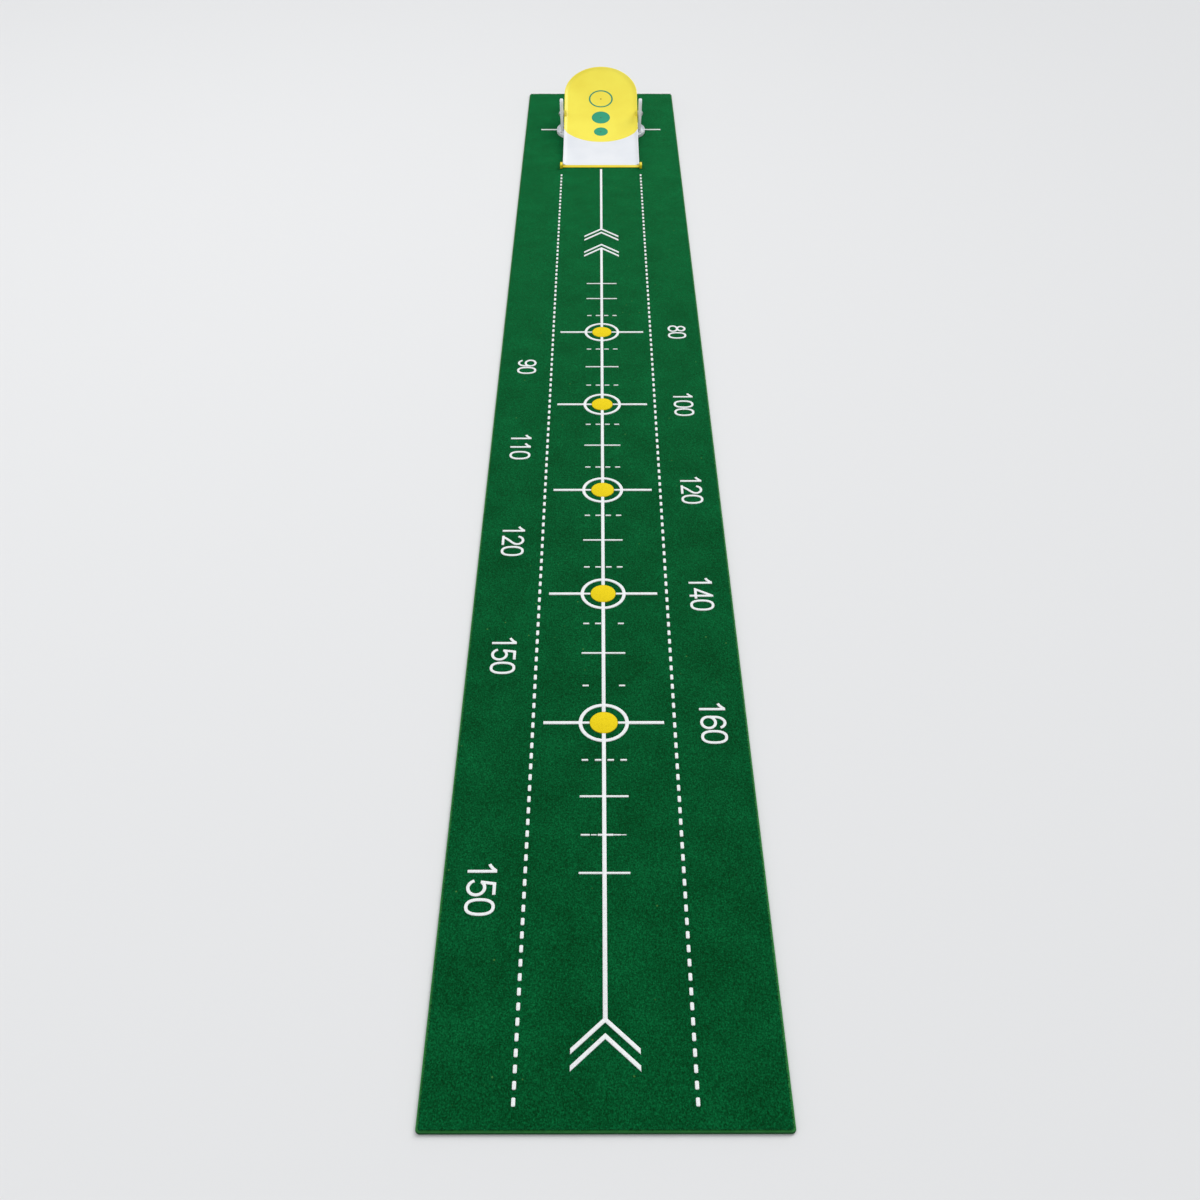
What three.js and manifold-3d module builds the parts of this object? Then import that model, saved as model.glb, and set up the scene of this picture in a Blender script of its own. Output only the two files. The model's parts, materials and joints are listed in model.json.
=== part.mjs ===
// Practice putting mat: a flat turf mat with a return ramp that stands over its hole line.
// Millimetres, +Z up, +X to the right, +Y from the putting end towards the ramp.
// The origin is the middle of the mat's underside.

import * as THREE from 'three';
import { mergeVertices } from 'three/addons/utils/BufferGeometryUtils.js';
import Module from 'manifold-3d';

const wasm = await Module();
wasm.setup();

// ---------------------------------------------------------------- driving dimensions

const CLEARANCE = 0.3; // between pieces that touch
const RUNNING_GAP = 0.3; // radial, round the pivot pins

// mat
const MAT_WIDTH = 305;
const MAT_LENGTH = 2238;
const MAT_CORNER_RADIUS = 4;
const BACKING_THICKNESS = 2.6;
const TURF_THICKNESS = 1.6;
const TURF_BORDER = 2.7; // backing left bare round the turf
const HOLE_LINE_SETBACK = 200; // from the mat's rear end to the hole line

// ramp
const RAMP_WIDTH = 147;
const RAMP_LENGTH = 314.5; // along its surface, from the back of the lip to the rear end
const LIP_TO_PIVOT = 186; // level distance from the lip's front edge to the pivot pins
const RAMP_CURVE = 0.00087; // rise = curve * run * run
const RAMP_START = 2.8; // height of the surface where the curve starts, above the turf
const TURF_GAP = 0.4; // under the ramp's front and the base
const SHELL_THICKNESS = 2;
const BOARD_THICKNESS = 2;
const RAIL_WIDTH = 4.5;
const RAIL_HEIGHT = 4;
const SKIRT_WIDTH = 2.5;
const SKIRT_DEPTH = 8.5;
const RIB_WIDTH = 2;
const RIB_DEPTH = 7;
const RIB_START = 112;
const RIB_END = 290;
const RIB_SPACING = 35;
const CROSS_RIBS = [205, 262]; // places along the surface

// target board
const BOARD_FRONT = 93; // along the surface, on the middle line
const BOARD_CORNERS = 133; // along the surface, where the front arc meets the sides

// front lip
const LIP_LENGTH = 6;
const LIP_EDGE = 0.7;
const CAP_WIDTH = 4.5;
const CAP_LENGTH = 14;
const CAP_FORWARD = 6; // how far the caps stand out in front of the lip
const CAP_HEIGHT = 8;
const CAP_ROUNDING = 2.5;

// targets: place along the surface, outer radius, and inner radius for the ring
const RING = { at: 228, radius: 24.25, line: 3 };
const MIDDLE_TARGET = { at: 173, radius: 18.3 };
const SMALL_TARGET = { at: 128, radius: 13.8 };
const INLAY_THICKNESS = 0.5;
const PIP_RADIUS = 1.4;
const PIP_LENGTH = 1.3;
const PIP_CROWN = 0.35;

// pivots
const PIVOT_LIFT = 1.5; // pin axis above the ramp's surface
const PIN_RADIUS = 2.5;
const PIN_HEAD_RADIUS = 3.8;
const PIN_HEAD_HEIGHT = 1.7;
const PIN_RECESS = 0.6; // pin's inner end below the ear's inner face
const BUSH_WALL = 1.2;
const BUSH_FLANGE = 1.4;
const BUSH_FLANGE_RADIUS = 6;
const INSERT_WALL = 1.2;
const EAR_RADIUS = 7.6;
const WASHER_THICKNESS = 0.8;
const WASHER_RADIUS = 5;

// arms
const ARM_HEIGHT = 57.5;
const ARM_FOOT_THICKNESS = 4.8;
const ARM_TOP_THICKNESS = 6.8;
const ARM_FOOT_DEPTH = 24;
const ARM_TOP_DEPTH = 15;
const ARM_FOOT_FORWARD = 7; // foot's middle in front of the hole line

// base
const BASE_OVERHANG = 8.5; // past the arms' feet, to each side
const BASE_RADIUS = 44;
const BASE_FORWARD = 12; // base's middle in front of the hole line
const BASE_FLOOR = 4;
const BASE_RIM_WIDTH = 3.5;
const BASE_RIM_HEIGHT = 3; // above the floor
const PEG_HOLE_RADIUS = 2.4;
const PEG_HOLE_INSET = 9.5; // from the base's side
const PEG_HOLE_FORWARD = 12.5; // from the base's middle
const GRIP_PAD_RADIUS = 24;
const GRIP_PAD_INSET = 41.5; // from the base's side to the pad's middle
const GRIP_PAD_THICKNESS = 1.3;

// screws
const SCREW_RADIUS = 1.25;
const SCREW_HEAD_RADIUS = 2.7;
const FLANGED_HEAD_RADIUS = 4.4; // wider than the board's bosses
const SCREW_HEAD_HEIGHT = 1.4;
const ARM_SCREW_LENGTH = 12;
const ARM_SCREW_SPACING = 15;
const BOARD_SCREW_LENGTH = 3;
const BOSS_WALL = 1.6;
const BOARD_SCREWS = { front: { x: 52, at: 150 }, rear: { x: 42, at: 244 } };

// roundness
const ROUND = 24; // sides of a full circle on the larger pieces
const SMALL_ROUND = 14; // on screws, pins and bushes
const SMALLEST_LARGE_RADIUS = 5;
const CORNER_STEPS = 5;
const CURVE_STEPS = 22;
const ARC_STEPS = 20;

// ---------------------------------------------------------------- worked-out places

const TURF_TOP = BACKING_THICKNESS + CLEARANCE + TURF_THICKNESS;
const HOLE_LINE = MAT_LENGTH / 2 - HOLE_LINE_SETBACK;
const LIP_FRONT = HOLE_LINE - LIP_TO_PIVOT;
const RAMP_FRONT = LIP_FRONT + LIP_LENGTH;
const CAP_FRONT = LIP_FRONT - CAP_FORWARD;
const HALF = RAMP_WIDTH / 2;
const BOARD_SEAT = -(BOARD_THICKNESS + CLEARANCE); // lift of the surface that the board lies on
const DECK = SHELL_THICKNESS - BOARD_SEAT; // shell and board together
const PIVOT_RUN = LIP_TO_PIVOT - LIP_LENGTH;
const PIVOT_HEIGHT = TURF_TOP + RAMP_START + RAMP_CURVE * PIVOT_RUN ** 2 + PIVOT_LIFT;
const BASE_MIDDLE = HOLE_LINE - BASE_FORWARD;
const BASE_BOTTOM = TURF_TOP + TURF_GAP;
const BASE_FLOOR_TOP = BASE_BOTTOM + BASE_FLOOR;
const BASE_TOP = BASE_FLOOR_TOP + BASE_RIM_HEIGHT;
const BUSH_BORE = PIN_RADIUS + RUNNING_GAP;
const BUSH_RADIUS = BUSH_BORE + BUSH_WALL;
const INSERT_BORE = PIN_RADIUS + CLEARANCE;
const INSERT_RADIUS = INSERT_BORE + INSERT_WALL;
const EAR_BORE = INSERT_RADIUS + CLEARANCE;
const EAR_INSIDE = HALF - RAIL_WIDTH;
const ARM_INSIDE = HALF + 2 * CLEARANCE + BUSH_FLANGE;
const BASE_HALF = ARM_INSIDE + ARM_FOOT_THICKNESS + BASE_OVERHANG;
const BASE_STRAIGHT = BASE_HALF - BASE_RADIUS; // half the straight part between the round ends
const ARM_FOOT_MIDDLE = HOLE_LINE - ARM_FOOT_FORWARD;
const ARM_BOTTOM = BASE_FLOOR_TOP + CLEARANCE;
const ARM_TOP = BASE_FLOOR_TOP + ARM_HEIGHT;
const ARM_AXIS_X = ARM_INSIDE + ARM_FOOT_THICKNESS / 2;
const SCREW_HOLE = SCREW_RADIUS + CLEARANCE;
const BOSS_RADIUS = SCREW_RADIUS + CLEARANCE + BOSS_WALL;

// ---------------------------------------------------------------- solids

/** A closed three.js geometry as a solid that can be joined and cut. */
function solid(geometry, matrix) {
  const bare = geometry.clone();
  bare.deleteAttribute('normal');
  bare.deleteAttribute('uv');
  const merged = mergeVertices(matrix ? bare.applyMatrix4(matrix) : bare, 1e-4);
  return new wasm.Manifold(new wasm.Mesh({
    numProp: 3,
    vertProperties: merged.attributes.position.array,
    triVerts: Uint32Array.from(merged.index.array),
  }));
}

/** A solid as a three.js geometry with flat shading. */
function geometryOf(body) {
  const mesh = body.getMesh();
  const geometry = new THREE.BufferGeometry();
  geometry.setAttribute('position', new THREE.BufferAttribute(mesh.vertProperties, 3));
  geometry.setIndex(new THREE.BufferAttribute(mesh.triVerts, 1));
  const flat = geometry.toNonIndexed();
  flat.computeVertexNormals();
  return flat;
}

const ACROSS = new THREE.Matrix4().makeBasis(
  new THREE.Vector3(0, 1, 0), new THREE.Vector3(0, 0, 1), new THREE.Vector3(1, 0, 0));

/** A side view, drawn in Y and Z, carried from one X to another. */
function acrossX(points, low, high) {
  const shape = new THREE.Shape(points.map(([y, z]) => new THREE.Vector2(y, z)));
  const geometry = new THREE.ExtrudeGeometry(shape, { depth: high - low, bevelEnabled: false });
  geometry.translate(0, 0, low);
  return solid(geometry, ACROSS);
}

/** A plan view, drawn in X and Y, carried from one height to another. */
function upright(shape, low, high, steps = ROUND / 2) {
  const geometry = new THREE.ExtrudeGeometry(shape, {
    depth: high - low, bevelEnabled: false, curveSegments: steps,
  });
  geometry.translate(0, 0, low);
  return solid(geometry);
}

/** A cylinder whose axis stands along Z between two heights. */
function post(radius, low, high, x = 0, y = 0) {
  const sides = radius < SMALLEST_LARGE_RADIUS ? SMALL_ROUND : ROUND;
  const geometry = new THREE.CylinderGeometry(radius, radius, high - low, sides);
  geometry.rotateX(Math.PI / 2);
  geometry.translate(x, y, (low + high) / 2);
  return solid(geometry);
}

/** A cylinder along X, centred on the pivot axis. */
function pivotRod(radius, low, high) {
  const geometry = new THREE.CylinderGeometry(radius, radius, high - low, ROUND);
  geometry.rotateZ(Math.PI / 2);
  geometry.translate((low + high) / 2, HOLE_LINE, PIVOT_HEIGHT);
  return solid(geometry);
}

/** A turned piece: radius and height pairs that start and end on the axis, standing on Z. */
function turned(profile) {
  const geometry = new THREE.LatheGeometry(
    profile.map(([radius, height]) => new THREE.Vector2(radius, height)), SMALL_ROUND);
  geometry.rotateX(Math.PI / 2);
  return geometry;
}

// ---------------------------------------------------------------- the ramp's curve

/** Level distance from the ramp's front for a length along its surface. */
function runAt(length) {
  let run = length;
  for (let i = 0; i < 8; i += 1) {
    const slope = 2 * RAMP_CURVE * run;
    const covered = run / 2 * Math.hypot(1, slope) + Math.asinh(slope) / (4 * RAMP_CURVE);
    run -= (covered - length) / Math.hypot(1, slope);
  }
  return run;
}

const slopeAt = (length) => Math.atan(2 * RAMP_CURVE * runAt(length));
const heightAt = (length) => RAMP_START + RAMP_CURVE * runAt(length) ** 2; // above the turf

/** A point on the ramp, a length along it and a lift square to its surface. */
function surfacePoint(length, lift) {
  const slope = slopeAt(length);
  return [
    RAMP_FRONT + runAt(length) - lift * Math.sin(slope),
    TURF_TOP + heightAt(length) + lift * Math.cos(slope),
  ];
}

/** Where a piece drawn about its own axis stands on the ramp. */
function onSurface(x, length, lift = 0) {
  const [y, z] = surfacePoint(length, lift);
  return new THREE.Matrix4().makeTranslation(x, y, z)
    .multiply(new THREE.Matrix4().makeRotationX(slopeAt(length)));
}

/** A layer that follows the curve between two lifts, each a number or a rule of the length. */
function layer(from, to, top, bottom, low = -HALF, high = HALF) {
  const rule = (value) => (typeof value === 'number' ? () => value : value);
  const steps = Array.from({ length: CURVE_STEPS + 1 }, (_, i) => from + (to - from) * i / CURVE_STEPS);
  const over = steps.map((length) => surfacePoint(length, rule(top)(length)));
  const under = steps.map((length) => surfacePoint(length, rule(bottom)(length)));
  return acrossX([...under, ...over.reverse()], low, high);
}

/** Plan outline of the ramp or its board, taken in from the sides and rear, as a tall prism. */
function outline(front, inset) {
  const reach = HALF - inset;
  const centre = RAMP_LENGTH - HALF;
  const plan = (x, length) => new THREE.Vector2(x, RAMP_FRONT + runAt(length));
  const points = [];
  for (let i = 0; i <= ARC_STEPS; i += 1) {
    const x = reach * (2 * i / ARC_STEPS - 1);
    points.push(plan(x, front(x)));
  }
  for (let i = 0; i <= ARC_STEPS; i += 1) {
    const turn = Math.PI * i / ARC_STEPS;
    points.push(plan(reach * Math.cos(turn), centre + reach * Math.sin(turn)));
  }
  return upright(new THREE.Shape(points), 0, 2 * RAMP_LENGTH);
}

const FRONT_SAG = BOARD_CORNERS - BOARD_FRONT;
const FRONT_RADIUS = (HALF ** 2 + FRONT_SAG ** 2) / (2 * FRONT_SAG);
const boardArc = (x) => BOARD_FRONT + FRONT_RADIUS - Math.sqrt(FRONT_RADIUS ** 2 - x ** 2);
const beforeFront = () => -LIP_LENGTH;

/** A rod on the pivot axis through one ear, from a gap inside the ear's inner face. */
function earRod(side, radius, gap) {
  const low = EAR_INSIDE - gap;
  const high = HALF + (radius === EAR_RADIUS ? 0 : RAIL_WIDTH);
  return pivotRod(radius, Math.min(side * low, side * high), Math.max(side * low, side * high));
}

// ---------------------------------------------------------------- pieces

function roundedPlate(width, length, radius) {
  const shape = new THREE.Shape();
  const x = width / 2;
  const y = length / 2;
  shape.moveTo(radius - x, -y);
  shape.lineTo(x - radius, -y);
  shape.absarc(x - radius, radius - y, radius, -Math.PI / 2, 0);
  shape.absarc(x - radius, y - radius, radius, 0, Math.PI / 2);
  shape.absarc(radius - x, y - radius, radius, Math.PI / 2, Math.PI);
  shape.absarc(radius - x, radius - y, radius, Math.PI, 1.5 * Math.PI);
  return shape;
}

function matBacking() {
  return upright(roundedPlate(MAT_WIDTH, MAT_LENGTH, MAT_CORNER_RADIUS), 0, BACKING_THICKNESS, CORNER_STEPS);
}

function matTurf() {
  const plate = roundedPlate(
    MAT_WIDTH - 2 * TURF_BORDER, MAT_LENGTH - 2 * TURF_BORDER, MAT_CORNER_RADIUS - TURF_BORDER / 2);
  return upright(plate, BACKING_THICKNESS + CLEARANCE, TURF_TOP, CORNER_STEPS);
}

/** Lower lift of what hangs under the ramp: clear of the turf, and of the base from its edge on. */
function hanging(depth, fromMiddle = 0) {
  const across = Math.max(0, fromMiddle - BASE_STRAIGHT);
  const edge = PIVOT_RUN - BASE_FORWARD - Math.sqrt(Math.max(0, BASE_RADIUS ** 2 - across ** 2));
  return (length) => -Math.min(depth, heightAt(length) - TURF_GAP,
    TURF_TOP + heightAt(Math.max(length, edge)) - BASE_TOP - CLEARANCE);
}

/** White carrier: plain floor and rails in front, a lowered seat for the board behind. */
function rampShell() {
  const whole = outline(beforeFront, 0);
  const rails = whole.subtract(outline(beforeFront, RAIL_WIDTH));
  const skirts = whole.subtract(outline(beforeFront, SKIRT_WIDTH));
  const end = RAMP_LENGTH + SKIRT_DEPTH;
  let shell = layer(0, end, 0, hanging(DECK)).intersect(whole)
    .add(layer(0, end, RAIL_HEIGHT, -SHELL_THICKNESS).intersect(rails))
    .add(layer(0, end, -SHELL_THICKNESS, hanging(SKIRT_DEPTH, HALF - SKIRT_WIDTH)).intersect(skirts));
  for (const x of [-RIB_SPACING, 0, RIB_SPACING]) {
    shell = shell.add(layer(RIB_START, RIB_END, 1 - DECK, hanging(RIB_DEPTH),
      x - RIB_WIDTH / 2, x + RIB_WIDTH / 2));
  }
  for (const at of CROSS_RIBS) {
    shell = shell.add(layer(at - RIB_WIDTH / 2, at + RIB_WIDTH / 2, 1 - DECK, -RIB_DEPTH).intersect(whole));
  }
  const seat = outline((x) => boardArc(x) - CLEARANCE, -1);
  shell = shell.subtract(layer(BOARD_FRONT - 1, end, 3 * RAIL_HEIGHT, BOARD_SEAT).intersect(seat));
  for (const { x, at } of Object.values(BOARD_SCREWS)) {
    for (const side of [-1, 1]) {
      const hole = post(BOSS_RADIUS + CLEARANCE, -2 * DECK, 0);
      shell = shell.subtract(hole.transform(onSurface(side * x, at).elements));
    }
  }
  const earSpace = EAR_RADIUS + CLEARANCE;
  return shell.subtract(earRod(-1, earSpace, CLEARANCE)).subtract(earRod(1, earSpace, CLEARANCE));
}

/** Yellow board: rimmed at the sides and rear, with pivot ears, recesses and screw bosses. */
function targetBoard() {
  const end = RAMP_LENGTH + SKIRT_DEPTH;
  const whole = outline(boardArc, 0);
  const rim = whole.subtract(outline(beforeFront, RAIL_WIDTH));
  let board = layer(BOARD_FRONT - 1, end, 0, -BOARD_THICKNESS).intersect(whole)
    .add(layer(BOARD_FRONT - 1, end, RAIL_HEIGHT, -BOARD_THICKNESS).intersect(rim))
    .add(earRod(-1, EAR_RADIUS, 0)).add(earRod(1, EAR_RADIUS, 0));
  for (const { x, at } of Object.values(BOARD_SCREWS)) {
    for (const side of [-1, 1]) {
      const place = onSurface(side * x, at).elements;
      board = board.add(post(BOSS_RADIUS, -DECK, -BOARD_THICKNESS / 2).transform(place))
        .subtract(post(SCREW_HOLE, -2 * DECK, BOARD_SCREW_LENGTH + CLEARANCE - DECK).transform(place));
    }
  }
  for (const target of [RING, MIDDLE_TARGET, SMALL_TARGET]) {
    board = board.subtract(inlaySpace(target, CLEARANCE))
      .subtract(post(PIP_RADIUS + CLEARANCE, -PIP_LENGTH - CLEARANCE, DECK)
        .transform(onSurface(0, target.at).elements));
  }
  return board.subtract(earRod(-1, EAR_BORE, 0)).subtract(earRod(1, EAR_BORE, 0));
}

/** The layer of surface that a target's inlay fills, widened all round by a gap. */
function inlaySpace({ at, radius, line }, gap) {
  let round = post(radius + gap, -DECK, DECK);
  if (line) {
    round = round.subtract(post(radius - line - gap, -2 * DECK, 2 * DECK));
  }
  const span = radius + DECK;
  const top = gap > 0 ? RAIL_HEIGHT : 0;
  return layer(at - span, at + span, top, -INLAY_THICKNESS - gap)
    .intersect(round.transform(onSurface(0, at).elements));
}

function inlay(target) {
  const body = inlaySpace(target, 0);
  if (target.line) {
    return body;
  }
  return body.subtract(post(PIP_RADIUS + CLEARANCE, -DECK, DECK).transform(onSurface(0, target.at).elements));
}

function pip() {
  return turned([
    [0, -PIP_LENGTH], [PIP_RADIUS, -PIP_LENGTH], [PIP_RADIUS, 0],
    [PIP_RADIUS * 0.7, PIP_CROWN * 0.8], [0, PIP_CROWN],
  ]);
}

/** Thin wedge that leads the ball from the turf on to the ramp. */
function frontLip() {
  const low = TURF_TOP + TURF_GAP;
  const back = RAMP_FRONT - CLEARANCE;
  const points = [
    [LIP_FRONT, low], [back, low], [back, TURF_TOP + RAMP_START],
    [LIP_FRONT + LIP_EDGE, low + LIP_EDGE], [LIP_FRONT, low + LIP_EDGE / 2],
  ];
  return acrossX(points, -HALF, HALF);
}

/** Block that closes one end of the lip and laps the ramp's side. */
function lipCap(side) {
  const low = TURF_TOP + TURF_GAP;
  const shape = new THREE.Shape();
  shape.moveTo(CAP_FRONT, low);
  shape.lineTo(CAP_FRONT + CAP_LENGTH, low);
  shape.lineTo(CAP_FRONT + CAP_LENGTH, low + CAP_HEIGHT - CAP_ROUNDING);
  shape.absarc(CAP_FRONT + CAP_LENGTH - CAP_ROUNDING, low + CAP_HEIGHT - CAP_ROUNDING,
    CAP_ROUNDING, 0, Math.PI / 2);
  shape.absarc(CAP_FRONT + CAP_ROUNDING, low + CAP_HEIGHT - CAP_ROUNDING,
    CAP_ROUNDING, Math.PI / 2, Math.PI);
  const points = shape.extractPoints(6).shape.map(({ x, y }) => [x, y]);
  const inside = HALF + CLEARANCE;
  const outside = inside + CAP_WIDTH;
  return side < 0 ? acrossX(points, -outside, -inside) : acrossX(points, inside, outside);
}

/** Upright arm: round-topped and tapered in side view, thicker at the top in front view. */
function arm(side) {
  const radius = ARM_TOP_DEPTH / 2;
  const view = new THREE.Shape();
  view.moveTo(ARM_FOOT_MIDDLE - ARM_FOOT_DEPTH / 2, ARM_BOTTOM);
  view.lineTo(ARM_FOOT_MIDDLE + ARM_FOOT_DEPTH / 2, ARM_BOTTOM);
  view.lineTo(HOLE_LINE + radius, ARM_TOP - radius);
  view.absarc(HOLE_LINE, ARM_TOP - radius, radius, 0, Math.PI);
  const points = view.extractPoints(12).shape.map(({ x, y }) => [x, y]);
  const outer = ARM_INSIDE + ARM_TOP_THICKNESS;
  const plate = side < 0 ? acrossX(points, -outer, -ARM_INSIDE) : acrossX(points, ARM_INSIDE, outer);
  const thick = ARM_TOP_THICKNESS / 2;
  const front = new THREE.Shape();
  front.moveTo(side * ARM_INSIDE, ARM_BOTTOM);
  front.lineTo(side * (ARM_INSIDE + ARM_FOOT_THICKNESS), ARM_BOTTOM);
  front.lineTo(side * outer, ARM_TOP - thick);
  front.absarc(side * (ARM_INSIDE + thick), ARM_TOP - thick, thick,
    side > 0 ? 0 : Math.PI, side > 0 ? Math.PI : 0, side < 0);
  const slab = new THREE.ExtrudeGeometry(front, {
    depth: 2 * ARM_FOOT_DEPTH, bevelEnabled: false, curveSegments: 10,
  });
  slab.rotateX(Math.PI / 2);
  slab.translate(0, HOLE_LINE + ARM_FOOT_DEPTH, 0);
  const hole = pivotRod(BUSH_RADIUS + CLEARANCE, -RAMP_WIDTH, RAMP_WIDTH);
  let body = plate.intersect(solid(slab)).subtract(hole);
  for (const step of [-1, 1]) {
    body = body.subtract(post(SCREW_HOLE, 0, ARM_BOTTOM + ARM_SCREW_LENGTH,
      side * ARM_AXIS_X, ARM_FOOT_MIDDLE + step * ARM_SCREW_SPACING / 2));
  }
  return body;
}

/** The base's round-ended outline, taken in by an inset. */
function baseOutline(inset) {
  const shape = new THREE.Shape();
  const radius = BASE_RADIUS - inset;
  shape.moveTo(-BASE_STRAIGHT, BASE_MIDDLE - radius);
  shape.absarc(BASE_STRAIGHT, BASE_MIDDLE, radius, -Math.PI / 2, Math.PI / 2);
  shape.absarc(-BASE_STRAIGHT, BASE_MIDDLE, radius, Math.PI / 2, 1.5 * Math.PI);
  return shape;
}

/** Shallow round-ended tray that stands on the turf under the ramp and carries both arms. */
function baseTray() {
  let tray = upright(baseOutline(0), BASE_BOTTOM, BASE_TOP)
    .subtract(upright(baseOutline(BASE_RIM_WIDTH), BASE_FLOOR_TOP, 2 * BASE_TOP));
  for (const side of [-1, 1]) {
    tray = tray
      .subtract(post(PEG_HOLE_RADIUS, 0, BASE_TOP,
        side * (BASE_HALF - PEG_HOLE_INSET), BASE_MIDDLE - PEG_HOLE_FORWARD))
      .subtract(post(GRIP_PAD_RADIUS + CLEARANCE, 0, BASE_BOTTOM + GRIP_PAD_THICKNESS + CLEARANCE,
        side * (BASE_HALF - GRIP_PAD_INSET), BASE_MIDDLE));
    for (const step of [-1, 1]) {
      const x = side * ARM_AXIS_X;
      const y = ARM_FOOT_MIDDLE + step * ARM_SCREW_SPACING / 2;
      tray = tray.subtract(post(SCREW_HOLE, 0, BASE_TOP, x, y))
        .subtract(post(SCREW_HEAD_RADIUS + CLEARANCE, 0,
          BASE_BOTTOM + SCREW_HEAD_HEIGHT + 2 * CLEARANCE, x, y));
    }
  }
  return tray;
}

function gripPad(side) {
  return post(GRIP_PAD_RADIUS, BASE_BOTTOM, BASE_BOTTOM + GRIP_PAD_THICKNESS,
    side * (BASE_HALF - GRIP_PAD_INSET), BASE_MIDDLE);
}

/** Pan-head screw that stands on its head, with its shank up the Z axis. */
function screw(length, headRadius) {
  const head = SCREW_HEAD_HEIGHT;
  return turned([
    [0, 0], [headRadius * 0.75, 0], [headRadius, head * 0.45], [headRadius, head],
    [SCREW_RADIUS, head], [SCREW_RADIUS, head + length - SCREW_RADIUS], [0, head + length],
  ]);
}

/** Distance of the arm's outer face from the middle plane at a height. */
function armFaceAt(height) {
  const share = (height - ARM_BOTTOM) / (ARM_TOP - ARM_TOP_THICKNESS / 2 - ARM_BOTTOM);
  return ARM_INSIDE + ARM_FOOT_THICKNESS + (ARM_TOP_THICKNESS - ARM_FOOT_THICKNESS) * share;
}

const ARM_FACE = armFaceAt(PIVOT_HEIGHT);
const WASHER_FACE = armFaceAt(PIVOT_HEIGHT + WASHER_RADIUS) + CLEARANCE;

/** Shoulder pin with a domed head outside the arm; it turns with the ramp. */
function pivotPin() {
  const inner = EAR_INSIDE + PIN_RECESS;
  const face = WASHER_FACE + WASHER_THICKNESS + CLEARANCE;
  return turned([
    [0, inner], [PIN_RADIUS, inner], [PIN_RADIUS, face], [PIN_HEAD_RADIUS, face],
    [PIN_HEAD_RADIUS, face + PIN_HEAD_HEIGHT * 0.35],
    [PIN_HEAD_RADIUS * 0.7, face + PIN_HEAD_HEIGHT * 0.85], [0, face + PIN_HEAD_HEIGHT],
  ]);
}

/** A turned ring between two radii and two distances along its axis. */
function ring(inner, outer, low, high) {
  return turned([[inner, low], [outer, low], [outer, high], [inner, high], [inner, low]]);
}

/** Flanged bush for one arm; the flange keeps the arm off the ear. */
function pivotBush() {
  const face = HALF + CLEARANCE;
  return turned([
    [BUSH_BORE, face], [BUSH_FLANGE_RADIUS, face], [BUSH_FLANGE_RADIUS, face + BUSH_FLANGE],
    [BUSH_RADIUS, face + BUSH_FLANGE], [BUSH_RADIUS, ARM_FACE], [BUSH_BORE, ARM_FACE], [BUSH_BORE, face],
  ]);
}

// ---------------------------------------------------------------- finishes and assembly

const FINISHES = {
  turf: { color: 0x0b5f30, roughness: 0.95, metalness: 0 },
  backing: { color: 0x2c7439, roughness: 0.8, metalness: 0 },
  white: { color: 0xeff1f5, roughness: 0.42, metalness: 0 },
  yellow: { color: 0xf4e652, roughness: 0.4, metalness: 0 },
  lipYellow: { color: 0xf8e31c, roughness: 0.5, metalness: 0 },
  teal: { color: 0x3aa884, roughness: 0.5, metalness: 0 },
  brass: { color: 0x7a6a2a, roughness: 0.45, metalness: 0.6 },
  steel: { color: 0xb9bcc0, roughness: 0.32, metalness: 1 },
  nylon: { color: 0xdfe1e2, roughness: 0.5, metalness: 0 },
  rubber: { color: 0x2b2d2e, roughness: 0.85, metalness: 0 },
};

const putting_mat = new THREE.Group();

function addPiece(name, finish, shape, parent = putting_mat) {
  const geometry = shape.isBufferGeometry ? shape : geometryOf(shape);
  const mesh = new THREE.Mesh(geometry, new THREE.MeshStandardMaterial(FINISHES[finish]));
  mesh.name = name;
  parent.add(mesh);
  return mesh;
}

/** Puts a turned piece on the pivot axis, with its own Z towards the left or right arm. */
function onPivot(mesh, side) {
  mesh.position.set(0, HOLE_LINE, PIVOT_HEIGHT);
  mesh.rotation.y = side * Math.PI / 2;
}

/** Puts a turned piece on the ramp, with its own Z square to the surface. */
function standOnRamp(mesh, x, at, lift) {
  onSurface(x, at, lift).decompose(mesh.position, mesh.quaternion, mesh.scale);
}

addPiece('mat_backing', 'backing', matBacking());
addPiece('mat_turf', 'turf', matTurf());

addPiece('base_tray', 'white', baseTray());
addPiece('ramp_shell', 'white', rampShell());
addPiece('target_board', 'yellow', targetBoard());
addPiece('front_lip', 'lipYellow', frontLip());

const TARGETS = { target_ring: RING, middle_target: MIDDLE_TARGET, small_target: SMALL_TARGET };
for (const [name, target] of Object.entries(TARGETS)) {
  addPiece(name, 'teal', inlay(target));
  standOnRamp(addPiece(`${name}_pip`, 'brass', pip()), 0, target.at, 0);
}

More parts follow.
